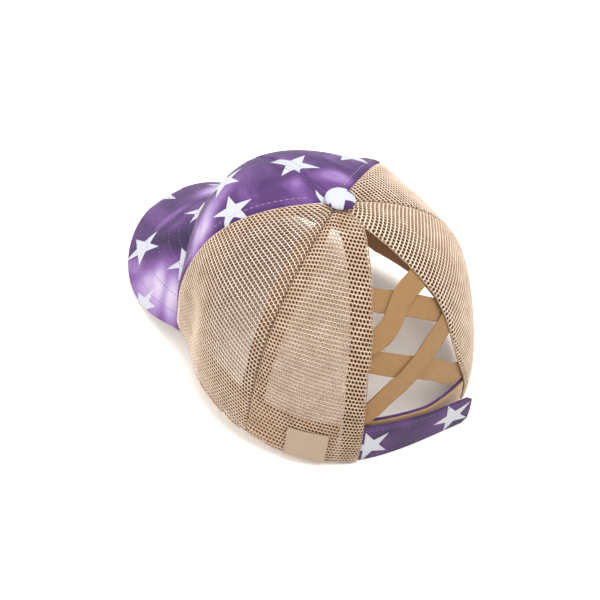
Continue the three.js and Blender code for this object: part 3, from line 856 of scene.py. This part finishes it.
def netMesh(panel, at, bearing, height):
    # a band of yarn round each hole, with an outer and an inner face; at holds each cell's corners
    low, high = sideAt(panel["low"], height), sideAt(panel["high"], height)
    normal = crownNormal(bearing, height)
    outer = crownPoint(bearing, height) - normal * seamDepth(bearing, height, low, high)[:, None]
    middle = outer[at].mean(axis=1, keepdims=True)
    sunk = normal[at] * max(walls["net"] / 2, net["wale"])
    rings = middle + (outer[at] - middle) * panel["hole"] - sunk
    count, cells = len(outer), len(at)
    hole = 2 * count + np.arange(cells * 6).reshape(cells, 6)
    faces, yarnShade = [], []
    for k in range(6):
        n = (k + 1) % 6
        # each corner's value of painted highlight and shade: raised yarn pale, 0 (darkest painted shade) at
        # the hole's rim
        top = net["link"] if k in (2, 5) else panel["pale"]  # sides 2 and 5 link one row to the next
        # the flat cut's x runs against the outside view, so these turn the faces outwards
        faces.append(np.stack([at[:, n], at[:, k], hole[:, k], hole[:, n]], axis=1))
        faces.append(np.stack([at[:, k] + count, at[:, n] + count, hole[:, n], hole[:, k]], axis=1))
        yarnShade += [np.tile([pale, pale, 0, 0], (cells, 1)) for pale in (top, net["back"])]
    # edges with a cell on one side only are closed by a wall
    pairs = np.concatenate([np.stack([at[:, k], at[:, (k + 1) % 6]], axis=1) for k in range(6)])
    keyed = set(map(tuple, pairs))
    a, b = np.array([(a, b) for a, b in pairs if (b, a) not in keyed]).T
    faces.append(np.stack([a, b, b + count, a + count], axis=1))
    yarnShade.append(np.full((len(a), 4), net["back"]))
    points = np.concatenate([outer, outer - normal * walls["net"], rings.reshape(-1, 3)])
    return points, np.concatenate(faces), np.concatenate(yarnShade)


def makeNet(name, panel):
    gore = makeGore(panel["centre"])
    x, y, even = netLattice(gore, panel["tilt"])
    bearing, height = fromFlat(gore, x, y)
    inside = cellsInside(gore, panel, x, y, bearing, height) & even[:-1]
    inside[:, 0] = inside[:, -1] = False
    # corners past a sewn edge lie on it, and loops stand a little past the opening's edge
    low, high = sideAt(panel["low"], height), sideAt(panel["high"], height)
    top = heightAtRadius(bearing, crown["apexHole"])
    radius = np.interp(height, gore["heights"], gore["radius"]).clip(flatCut["leastRadius"])
    loose = np.degrees(net["loop"] / radius) * (height < opening["height"][-1])
    bearing = np.maximum(bearing, low - loose * isinstance(panel["low"], str))
    bearing = np.minimum(bearing, high + loose * isinstance(panel["high"], str))
    height = np.clip(height, 0, top)
    row, column = np.nonzero(inside)
    ring = [(0, -1), (0, 0), (0, 1), (1, 1), (1, 0), (1, -1)]
    corner = np.stack([(row + up) * bearing.shape[1] + column + across for up, across in ring], axis=1)
    used, at = np.unique(corner, return_inverse=True)
    at = at.reshape(corner.shape)
    points, faces, yarnShade = netMesh(panel, at, bearing.ravel()[used], height.ravel()[used])
    piece = emptyMesh(name.replace("panel", "net"), points, faces)
    # the yarn's painted highlight and shade, one value per face corner
    paintedYarnShade = piece.data.attributes.new("yarnShade", "FLOAT", "CORNER")
    paintedYarnShade.data.foreach_set("value", yarnShade.ravel().astype(np.float32))
    pick(piece)
    bpy.ops.object.mode_set(mode="EDIT")
    bpy.ops.mesh.select_all(action="SELECT")
    bpy.ops.mesh.remove_doubles(threshold=weld)
    bpy.ops.mesh.dissolve_degenerate(threshold=weld)
    bpy.ops.object.mode_set(mode="OBJECT")
    bpy.ops.object.shade_smooth()
    keep(piece, netMaterial, [name])
    piece["width"], piece["length"] = (float(np.ptp(flat[:-1][inside])) for flat in (x, y))
    piece["area"] = float(len(at) * net["pitch"] * net["row"])
    print(name, "cells", len(at), "faces", len(piece.data.polygons))


for name, panel in netPanels.items():
    makeNet(name, panel)
print("net panels made")

# Tapes behind the seams and round the opening, which show through the net's holes; the hem tapes round the
# opening are dark brown as painted shade of the doubled net at its edge
sweatbandHeight = 28 * mm
tapes = {
    "halfWidth": 7.0 * mm,
    "narrowing": 0.22,  # most of a tape's half width, as a share of the distance to the crown's middle
    "hemWidth": 10.5 * mm,
    "hemInset": 0.9 * mm,  # from the opening's edge
    "hemEnds": (0.002, opening["height"][-1] - 0.03),  # heights on the crown
    "seamEnd": 2.2 * crown["apexHole"],  # how far from the crown's middle a seam's tape ends
    "thickness": 0.35 * mm,
    "edge": 0,
    "under": 0.2 * mm,  # clearance under the net
    "clear": 0.6 * mm,  # above the sweatband
    "columns": 20,
    "rows": 90,
}


def lineLength(bearing, height):  # along the crown, from a tape's lower end
    points = crownPoint(np.broadcast_to(bearing, height.shape), height)
    steps = np.linalg.norm(np.diff(points, axis=0), axis=-1)
    return np.concatenate([np.zeros((1,) + steps.shape[1:]), np.cumsum(steps, axis=0)])


def seamTapeShape(middle, wall):
    def shape(across, up):
        start = float(heightAt(np.array(middle), clothEdge(middle) + sweatbandHeight + tapes["clear"]))
        top = float(heightAtRadius(np.array(middle), tapes["seamEnd"]))
        height = lerp(start, top, up)
        radius = crownRadius(middle, height)
        off = lerp(1, -1, across) * np.minimum(tapes["halfWidth"], radius * tapes["narrowing"])
        dip = frontPanels["seamDip"] * np.exp(-((off / frontPanels["seamWidth"]) ** 2))
        points = underCrown(middle + np.degrees(off / radius), height, wall + tapes["under"] + dip)
        return points, np.stack([off, lineLength(middle, height)], axis=-1)

    return shape


def hemShape(side):
    sign = 1 if side == "left" else -1

    def shape(across, up):
        height = lerp(*tapes["hemEnds"], up)
        off = tapes["hemWidth"] * (across if side == "right" else 1 - across)
        edge = openingBearing(height, side)
        bearing = edge + sign * np.degrees((tapes["hemInset"] + off) / crownRadius(0.0, height))
        points = underCrown(bearing, height, walls["net"] + tapes["under"])
        return points, np.stack([off, lineLength(edge, height)], axis=-1)

    return shape


def makeTapes():
    seams = [
        ("front_left", seam["frontLeft"], walls["cotton"]),
        ("back_left", seam["backLeft"], walls["net"]),
        ("back_right", seam["backRight"], walls["net"]),
        ("front_right", seam["frontRight"], walls["cotton"]),
        ("front_centre", 180.0, walls["cotton"]),
    ]
    for name, middle, wall in seams:
        sewSheet("seam_tape_" + name, tapes, seamTapeShape(middle, wall), tapeMaterial, "sweatband_cloth")
    for side in ("left", "right"):
        sewSheet("opening_hem_" + side, tapes, hemShape(side), hemShadeMaterial, "sweatband_cloth")


makeTapes()
print("tapes made")

# Button: a covered dome with its shank and rivet
button = {
    "radius": 8.3 * mm,
    "rise": 5.2 * mm,
    "lip": 1.5 * mm,
    "shank": 2.2 * mm,
    "rivet": 5.2 * mm,
    "rivetThickness": 0.8 * mm,
    "pucker": 0.12 * mm,
    "puckers": 14,
    "puckerFade": 1.6,  # how fast the puckers fade towards the dome's top
    "underside": 0.8,  # power of the curve under the dome
    "edge": 0.2 * mm,  # of the shank and the rivet
    "tuck": 1.2,  # how far the cloth is drawn in under the dome, in lips
    "lap": 0.2 * mm,  # of the shank into the rivet
    "sunk": 1.0 * mm,  # of the shank into the dome
}


def crownTopAt(radius):
    bearings = np.arange(24) * 15.0 - 180
    return crownPoint(bearings, heightAtRadius(bearings, radius))[:, 2]


# The button's cloth lies flat on x and y
buttonPrint = (
    [(1.6, -8.9, 17.0, 129.7)],
    [],
    0.2,
)


def makeButton():
    centre = (0, -crown["apexForward"])
    seat = crownTopAt(button["radius"]).max() + walls["gap"]
    rivetTop = crownTopAt(button["rivet"]).min() - walls["cotton"] - walls["gap"]
    bpy.ops.object.select_all(action="DESELECT")
    bpy.ops.mesh.primitive_uv_sphere_add(segments=72, ring_count=44, radius=1)
    piece = bpy.context.object
    piece.name = piece.data.name = "covered_button"
    lip = seat + button["lip"]
    for vertex in piece.data.vertices:
        x, y, z = vertex.co
        out = math.hypot(x, y)
        around = math.atan2(y, x)
        rise = lip + (button["rise"] - button["lip"]) * z
        if z < 0:
            rise = lip - button["lip"] * abs(z) ** button["underside"] * button["tuck"]
        low = max(0.0, 1 - abs(z) * button["puckerFade"])
        radius = button["radius"] * out + button["pucker"] * low * math.sin(around * button["puckers"])
        vertex.co = (centre[0] + radius * math.cos(around), centre[1] + radius * math.sin(around), rise)
    shank = (button["shank"], rivetTop - button["lap"], seat + button["sunk"])
    rivet = (button["rivet"], rivetTop - button["rivetThickness"], rivetTop)
    parts = [piece]
    for radius, low, high in (shank, rivet):
        bpy.ops.object.select_all(action="DESELECT")
        bpy.ops.mesh.primitive_cylinder_add(vertices=40, radius=radius, depth=high - low,
                                            location=(*centre, (low + high) / 2))
        bpy.ops.object.transform_apply(location=True, rotation=False, scale=False)
        parts.append(bpy.context.object)
        applied(parts[-1], "BEVEL", width=button["edge"], segments=2, limit_method="ANGLE")
    bpy.ops.object.select_all(action="DESELECT")
    for part in parts:
        part.select_set(True)
    bpy.context.view_layer.objects.active = piece
    bpy.ops.object.join()
    cloth = piece.data.uv_layers[0]
    cloth.name = "cloth"
    for loop in piece.data.loops:
        cloth.data[loop.index].uv = piece.data.vertices[loop.vertex_index].co.xy
    pick(piece)
    bpy.ops.object.shade_smooth_by_angle(angle=sharp["button"])
    keep(piece, newCotton("button cotton", *buttonPrint), ["button"])


makeButton()

# Sweatband: cloth inside the lower edge, open at the back
sweatband = {
    "height": sweatbandHeight,
    "thickness": 1.5 * mm,
    "end": 38.0,
    "lap": 4.0,
    "hang": 5.0 * mm,
    "edge": 0.3 * mm,
    "slackBearing": -112.0,
    "slackSpread": 22.0,
    "columns": 260,
    "rows": 16,
}


def sweatbandShape(across, up):
    bearing = lerp(360 - sweatband["end"], sweatband["end"], across)
    lap = sweatband["lap"]
    front = (bearing > seam["frontLeft"] - lap) & (bearing < 360 + seam["frontRight"] + lap)
    height = heightAt(bearing, clothEdge(bearing) + sweatband["height"] * up)
    turned = aroundTo(bearing, 0)
    points = underCrown(turned, height, np.where(front, walls["cotton"], walls["net"]) + walls["layer"])
    slack = aroundTo(bearing, sweatband["slackBearing"]) / sweatband["slackSpread"]
    points[..., 2] -= sweatband["hang"] * np.exp(-slack * slack) * (1 - up)
    flat = np.stack([-np.radians(bearing) * crown["halfWidth"], up * sweatband["height"]], axis=-1)
    return points, flat


sewSheet("sweatband_cloth", sweatband, sweatbandShape, sweatMaterial, "sweatband_cloth", ["sweatband"])
print("button and sweatband made")

# Elastic bands: routes as bearing, height and layer, layer 1 being just under the panels
elastic = {
    "width": 12.7 * mm,
    "thickness": 1.2 * mm,
    "ribs": 11,
    "rib": 0.08 * mm,
    "cord": 0.3 * mm,  # raised edge
    "cordWidth": 1.0 * mm,
    "cordSunk": 0.7,  # share of the cord's height that lies under the ribs' tops
    "hollow": 0.4 * mm,  # how far its edges lie under its middle
    "edge": 0.35 * mm,
    "columns": 140,
    "rows": 44,
}
bandRoutes = {
    "elastic_band_a": [(31, 0.585, 1), (23, 0.574, 1.7), (7.5, 0.546, 2), (-2.8, 0.506, 2), (-10.4, 0.465, 2),
                       (-16.6, 0.422, 2), (-24, 0.37, 2)],
    "elastic_band_b": [(34, 0.39, 1), (27, 0.413, 1), (19.8, 0.441, 1), (13.3, 0.478, 1), (7.9, 0.514, 1),
                       (1.9, 0.545, 1), (-6.1, 0.563, 1), (-18.6, 0.567, 1), (-24, 0.567, 1)],
    "elastic_band_c": [(35, 0.357, 2), (26.7, 0.346, 2), (15.2, 0.323, 2), (3.7, 0.286, 2), (-7, 0.227, 2),
                       (-14.5, 0.167, 1.7), (-20.5, 0.13, 1.3), (-27, 0.107, 1.3)],
    "elastic_band_d": [(35, 0.09, 2), (29.5, 0.124, 2), (19.3, 0.218, 1.2), (11.7, 0.259, 1), (1.3, 0.305, 1),
                       (-8.1, 0.335, 1), (-20, 0.35, 1), (-26, 0.355, 1)],
}


def alongRoute(rows, share):  # a smooth curve through all the rows
    points = np.array(rows, float)
    points = np.concatenate([[2 * points[0] - points[1]], points, [2 * points[-1] - points[-2]]])
    at = np.clip(share, 0, 1) * (len(rows) - 1)
    k = np.minimum(at.astype(int), len(rows) - 2)
    t = (at - k)[..., None]
    a, b, c, d = (points[k + n] for n in range(4))
    return b + 0.5 * t * (c - a + t * (2 * a - 5 * b + 4 * c - d + t * (3 * b - a - 3 * c + d)))


def layerDepth(layer):
    return walls["net"] + walls["layer"] + (layer - 1) * (elastic["thickness"] + walls["gap"])


def makeElastic(name, rows):
    def centre(share):
        bearing, height, layer = np.moveaxis(alongRoute(rows, share), -1, 0)
        return underCrown(bearing, height, layerDepth(layer)), crownNormal(bearing, height)

    length = np.linalg.norm(np.diff(centre(np.linspace(0, 1, 200))[0], axis=0), axis=1).sum()

    def shape(across, up):
        middle, normal = centre(across)
        along = unit(centre(across + 0.01)[0] - centre(across - 0.01)[0])
        sideways = np.cross(normal, along)
        side = up - 0.5
        fromEdge = (0.5 - np.abs(side)) * elastic["width"]
        inEdge = fromEdge < elastic["cordWidth"]
        rib = elastic["rib"] * (np.cos(2 * np.pi * up * elastic["ribs"]) - 1) / 2
        swell = np.sin(np.pi * np.clip(fromEdge / elastic["cordWidth"], 0, 1))
        cord = elastic["cord"] * (swell - elastic["cordSunk"])
        lift = np.where(inEdge, cord, rib) - np.abs(side) * elastic["hollow"]
        points = middle + sideways * (side * elastic["width"])[..., None] + normal * lift[..., None]
        return points, np.stack([across * length, side * elastic["width"]], axis=-1)

    sewSheet(name.replace("band", "webbing"), elastic, shape, elasticMaterial, "elastic", [name])


for name, rows in bandRoutes.items():
    makeElastic(name, rows)
print("elastic bands made")

# Closure under the opening: two tabs with a tape on each
closure = {
    "thickness": 1.0 * mm,  # of each tab and tape
    "rootHeight": 29.0 * mm,
    "endHeight": 22.0 * mm,
    "rootBearing": 36.0,
    "endBearing": -19.0,
    "flareStart": 20.0,
    "flare": 8.6 * mm,
    "flarePower": 2.15,
    "slope": (30.0, -2.0),
    "corner": 2.5 * mm,
    "cornerSpan": 1.2,  # a cut corner's length along the tab, as a share of its height
    "innerHeight": 21.0 * mm,
    "loopShows": 0.2 * mm,  # above the outer tab
    "innerShows": 0.9 * mm,
    "innerEnd": 30.0,
    "blend": 2.0 * mm,
    "innerRoot": -36.0,
    "inset": 1.5 * mm,
    "hookEnd": -13.0,
    "tapeStart": 18.0,
    "loopStart": 27.0,
    "loopPast": 1.2,  # degrees that the loop tape runs past the opening's edge
    "edge": 0.25 * mm,
    "columns": 110,
    "rows": 30,
}
hookDepth = closure["thickness"] + walls["gap"]
loopDepth = hookDepth + closure["thickness"] + walls["gap"]
innerTabDepth = loopDepth + closure["thickness"] + walls["gap"]


def tabStand(bearing):
    sewn = -(walls["net"] + walls["layer"])
    free = np.clip((closure["flareStart"] - bearing) / (closure["flareStart"] - closure["endBearing"]), 0, 1)
    return sewn + (closure["flare"] - sewn) * free ** closure["flarePower"]


def innerTabStand(bearing):
    free = tabStand(bearing) - innerTabDepth
    sewn = -(walls["net"] + walls["layer"] + walls["gap"])
    return (free + sewn - np.hypot(free - sewn, closure["blend"])) / 2  # the lower one, smoothly


def tabTop(bearing):
    start, end = closure["slope"]
    return lerp(closure["rootHeight"], closure["endHeight"], np.clip((start - bearing) / (start - end), 0, 1))


def stripShape(start, end, top, bottom, stand, corner=0.0):
    def shape(across, up):
        bearing = lerp(start, end, across)
        ends = np.minimum(across, 1 - across) * abs(start - end)
        span = math.degrees(corner / crown["back"]) * closure["cornerSpan"] if corner else 1
        cut = corner * (1 - smooth(ends, 0, span))
        z = lerp(bottom + cut, top(bearing) - cut, up)
        off = stand(bearing)
        points = underCrown(bearing, heightAt(bearing, z), np.maximum(-off, 0))
        outwards = np.stack([np.sin(np.radians(bearing)), np.cos(np.radians(bearing)), 0 * bearing], axis=-1)
        points = points + outwards * np.maximum(off, 0)[..., None]
        points[..., 2] = z
        return points, np.stack([-np.radians(bearing) * crown["back"], z], axis=-1)

    return shape


# Flat cloth x runs towards the free end of the outer tab, from the back's middle, and y up
tabPrint = (
    [
        (-36.1, 11.5, 13.2, 38),
        (17.5, 10.7, 12.0, 37),
    ],
    [
        (-8, 14, 70, 34, 0, -0.15),
        (-2, 8, 20, 7, 5, 0.12),
    ],
    0.52,
)
innerTabPrint = ([(30, 8, 12.0, 10)], [], 0.6)


def hookTop(bearing):
    return np.minimum(tabTop(bearing), closure["innerHeight"]) - closure["inset"]


def hookStand(bearing):
    return tabStand(bearing) - hookDepth


def loopTop(bearing):
    return tabTop(bearing) + closure["loopShows"]


def loopStand(bearing):
    return innerTabStand(bearing) + walls["gap"] + closure["thickness"]


def innerTop(bearing):
    return tabTop(bearing) + closure["innerShows"]


outerTab = stripShape(closure["rootBearing"], closure["endBearing"], tabTop, 0, tabStand, closure["corner"])


def makeClosure():
    inset, corner = closure["inset"], closure["corner"]
    loopEnd = float(openingBearing(heightAt(-25, closure["innerHeight"]), "right")) + closure["loopPast"]
    hook = stripShape(closure["tapeStart"], closure["hookEnd"], hookTop, inset, hookStand)
    loop = stripShape(closure["loopStart"], loopEnd, loopTop, inset, loopStand)
    inner = stripShape(closure["innerEnd"], closure["innerRoot"], innerTop, 0, innerTabStand, corner)
    strips = {
        "tab_outer": (outerTab, newCotton("outer tab cotton", *tabPrint), "printed_cotton"),
        "hook_tape": (hook, hookMaterial, "tape"),
        "loop_tape": (loop, hookMaterial, "tape"),
        "tab_inner": (inner, newCotton("inner tab cotton", *innerTabPrint), "printed_cotton"),
    }
    for name, (shape, material, slot) in strips.items():
        sewSheet("strap_" + name, closure, shape, material, slot, ["closure_" + name], "laid")


makeClosure()

# Bare patch at the lower edge of the left back panel
label = {
    "width": 22.0 * mm,
    "height": 22.0 * mm,
    "thickness": 1.0 * mm,
    "bearing": 49.3,
    "rise": 0.6 * mm,
    "edge": 0.2 * mm,
    "columns": 30,
    "rows": 30,
}


def labelShape(across, up):
    halfTurn = math.degrees(label["width"] / 2 / crown["halfWidth"])
    bearing = lerp(label["bearing"] + halfTurn, label["bearing"] - halfTurn, across)
    z = clothEdge(bearing) + label["rise"] + label["height"] * up
    points = underCrown(bearing, heightAt(bearing, z), np.full_like(z, -(walls["gap"] + label["thickness"])))
    return points, np.stack([across * label["width"], up * label["height"]], axis=-1)


sewSheet("bare_patch", label, labelShape, labelMaterial, "faux_suede", ["label_patch"], "laid",
         ["back_panel_left"])
print("closure and patch made")

# Stitches: small raised dashes of thread, one mesh for each piece that they are sewn through
stitch = {
    "pitch": 3.2 * mm,
    "cover": 0.72,  # a stitch's length as a share of the pitch
    "seamPitch": 1.6 * mm,  # of the lockstitch down the net's seams
    "seamCover": 1.1,
    "width": 0.38 * mm,
    "rise": 0.18 * mm,
    "sunk": 0.1 * mm,
    "rowPitch": 7.0 * mm,  # between the rows of the peak
    "peakRows": 7,
    "peakFirst": 5.0 * mm,  # from the peak's edge
    "peakEnd": 0.93,  # share of the peak's depth at which its rows end
    "peakEnds": (0.005, 0.995),  # shares of the way across the peak
    "peakLean": 0.3,  # least sine of the angle between its edge and its depth's line
    "seamAside": 4.2 * mm,  # from a front panel's seam
    "seamNarrowing": 0.45,  # most of that, as a share of the distance to the crown's middle
    "seamEnds": (0.04, 0.93),  # heights on the crown
    "netEnds": (0.01, 0.95),
    "tabAside": 2.5 * mm,  # from a tab's edges
    "tabEnds": (0.02, 0.98),
    "labelAside": 1.2 * mm,
    "labelEnds": (0.05, 0.95),
}
# A stitch's cross-section: shares across and up, and its sections: share along, half width, rise
stitchArch = [(-1, 0.0), (-0.5, 0.8), (0.5, 0.8), (1, 0.0)]
stitchForm = [(-0.5, 0.25, -1.0), (-0.38, 0.8, 0.5), (0.0, 1.0, 1.0), (0.38, 0.8, 0.5), (0.5, 0.25, -1.0)]


def evenly(points, normals, pitch):  # points at an even pitch along a line, with the way along it
    arc = np.concatenate([[0], np.cumsum(np.linalg.norm(np.diff(points, axis=0), axis=1))])
    at = np.arange(pitch / 2, arc[-1] - pitch / 2, pitch)

    def along(values, shift=0):
        return np.stack([np.interp(at + shift, arc, values[:, k]) for k in range(3)], axis=1)

    place = along(points)
    return place, unit(along(normals)), unit(along(points, 0.2 * pitch) - place)


def makeStitches(name, lines, thread, pitch=stitch["pitch"], cover=stitch["cover"]):
    share, half, rise = np.array(stitchForm).T[..., None]
    across, up = np.array(stitchArch).T
    lift = np.where(rise > 0, stitch["rise"] * rise * up, -stitch["sunk"])
    aside = half * across * stitch["width"] / 2
    ahead = share * pitch * cover + 0 * across
    points = []
    for line, normals in lines:
        place, normal, along = (values[:, None, None] for values in evenly(line, normals, pitch))
        sides = np.cross(normal, along)
        dashes = place + along * ahead[..., None] + sides * aside[..., None] + normal * lift[..., None]
        points.append(dashes.reshape(-1, 3))
    points = np.concatenate(points)
    arch, size = len(stitchArch), lift.size
    faces = []
    for first in range(0, size - arch, arch):
        for n in range(arch):
            m = (n + 1) % arch
            faces.append((first + n, first + arch + n, first + arch + m, first + m))
    faces += [(0, 1, 2, 3), (size - 1, size - 2, size - 3, size - 4)]
    faces = (np.arange(0, len(points), size)[:, None, None] + np.array(faces)).reshape(-1, 4)
    piece = emptyMesh(name, points, faces)
    pick(piece)
    bpy.ops.object.mode_set(mode="EDIT")
    bpy.ops.mesh.select_all(action="SELECT")
    bpy.ops.mesh.normals_make_consistent(inside=False)
    bpy.ops.object.mode_set(mode="OBJECT")
    bpy.ops.object.shade_smooth_by_angle(angle=sharp["stitch"])
    return keep(piece, thread)


def alongShape(shape, across, up, step=0.002):  # a line on a sheet's face, with its normals
    points = shape(across, up)[0]
    aside = shape(across + step, up)[0] - points
    above = shape(across, up + step)[0] - points
    return points, unit(np.cross(aside, above))


def seamStitchLine(seamBearing, side):
    # a line beside a seam, from the crown's lower edge to the button
    heights = np.linspace(*stitch["seamEnds"], 300)
    radius = crownRadius(seamBearing, heights)
    aside = np.minimum(stitch["seamAside"], radius * stitch["seamNarrowing"])
    bearing = seamBearing + side * np.degrees(aside / radius)
    return crownPoint(bearing, heights), crownNormal(bearing, heights)


def peakStitchLine(inset):
    # a line on the peak's top at one distance inside its edge
    across = np.linspace(*stitch["peakEnds"], 700)
    inner, outer = (np.stack(peakPlan(2 * across - 1, np.full_like(across, end)), axis=-1) for end in (0, 1))
    length = np.linalg.norm(outer - inner, axis=-1)
    tangent = unit(np.gradient(outer, axis=0))
    lean = np.abs(np.cross(unit(outer - inner), tangent)).clip(stitch["peakLean"])
    up = inset / (length * lean)
    kept = up < stitch["peakEnd"]
    return alongShape(peakShape, across[kept], up[kept])


def tabStitchLines(shape, low, high):
    aside = np.linspace(*stitch["tabEnds"], 200)
    return [alongShape(shape, aside, np.full_like(aside, share)) for share in (low, high)]


def netSeamLine(seamBearing):
    # a line down in the groove of a net seam
    heights = np.linspace(*stitch["netEnds"], 500)
    normals = crownNormal(seamBearing + 0 * heights, heights)
    return crownPoint(seamBearing, heights) - normals * (frontPanels["seamDip"] - stitch["sunk"]), normals


netLines = [netSeamLine(seam["backLeft"]), netSeamLine(seam["backRight"])]
makeStitches("net_seam_stitches", netLines, brownThread, stitch["seamPitch"], stitch["seamCover"])
makeStitches("front_left_stitches", [seamStitchLine(seam["frontLeft"], 1)], seamThread)
makeStitches("front_right_stitches", [seamStitchLine(seam["frontRight"], -1)], seamThread)
makeStitches("front_centre_stitches", [seamStitchLine(180.0, -1), seamStitchLine(-180.0, 1)], cottonThread)
peakLines = [peakStitchLine(stitch["peakFirst"] + k * stitch["rowPitch"]) for k in range(stitch["peakRows"])]
makeStitches("peak_stitches", peakLines, cottonThread)
share = stitch["tabAside"] / closure["endHeight"]
makeStitches("tab_stitches", tabStitchLines(outerTab, share, 1 - share), cottonThread)
edge = stitch["labelAside"] / label["width"]
upright = np.linspace(*stitch["labelEnds"], 60)
labelLines = [alongShape(labelShape, np.full_like(upright, side), upright) for side in (edge, 1 - edge)]
makeStitches("label_stitches", labelLines, patchThread)
print("stitches made")

# Studio: a white floor, a large soft lamp above and a weaker one to the left, ahead of the cap
studio = {
    "floor": 6.0,
    "floorBelow": 0.6 * mm,
    "paper": "#FCF5ED",
    "aim": (0, 0, 40 * mm),  # of the lamps
    "world": 1.06,
    "lamps": [
        {"name": "key lamp", "place": (-0.2, 0.25, 1.5), "size": 1.5, "power": 27},
        {"name": "left lamp", "place": (1.3, -0.7, 0.9), "size": 1.0, "power": 14},
    ],
}


def makeStudio():
    bpy.ops.object.select_all(action="DESELECT")
    bpy.ops.mesh.primitive_plane_add(size=studio["floor"], location=(0, 0, -studio["floorBelow"]))
    floor = bpy.context.object
    floor.name = "floor"
    paper, tree = newMaterial("white paper", 0.9, specular=0.0)
    tree.nodes["Principled BSDF"].inputs["Base Color"].default_value = linear(studio["paper"])
    floor.data.materials.append(paper)
    for lamp in studio["lamps"]:
        place = np.array(lamp["place"])
        bpy.ops.object.light_add(type="AREA", location=place)
        light = bpy.context.object
        light.name = lamp["name"]
        light.data.shape = "DISK"
        light.data.size = lamp["size"]
        light.data.energy = lamp["power"]
        ahead = unit(np.array(studio["aim"]) - place)
        right = unit(np.cross(ahead, [0, 0, 1]))
        turnTo(light, right, np.cross(right, ahead), place)
    world = bpy.data.worlds.new("studio")
    world.use_nodes = True
    sky = world.node_tree.nodes["Background"].inputs
    sky["Strength"].default_value = studio["world"]
    sky["Color"].default_value = (1, 1, 1, 1)
    bpy.context.scene.world = world
    bpy.context.scene.view_settings.view_transform = "Standard"


makeStudio()
print("studio made")
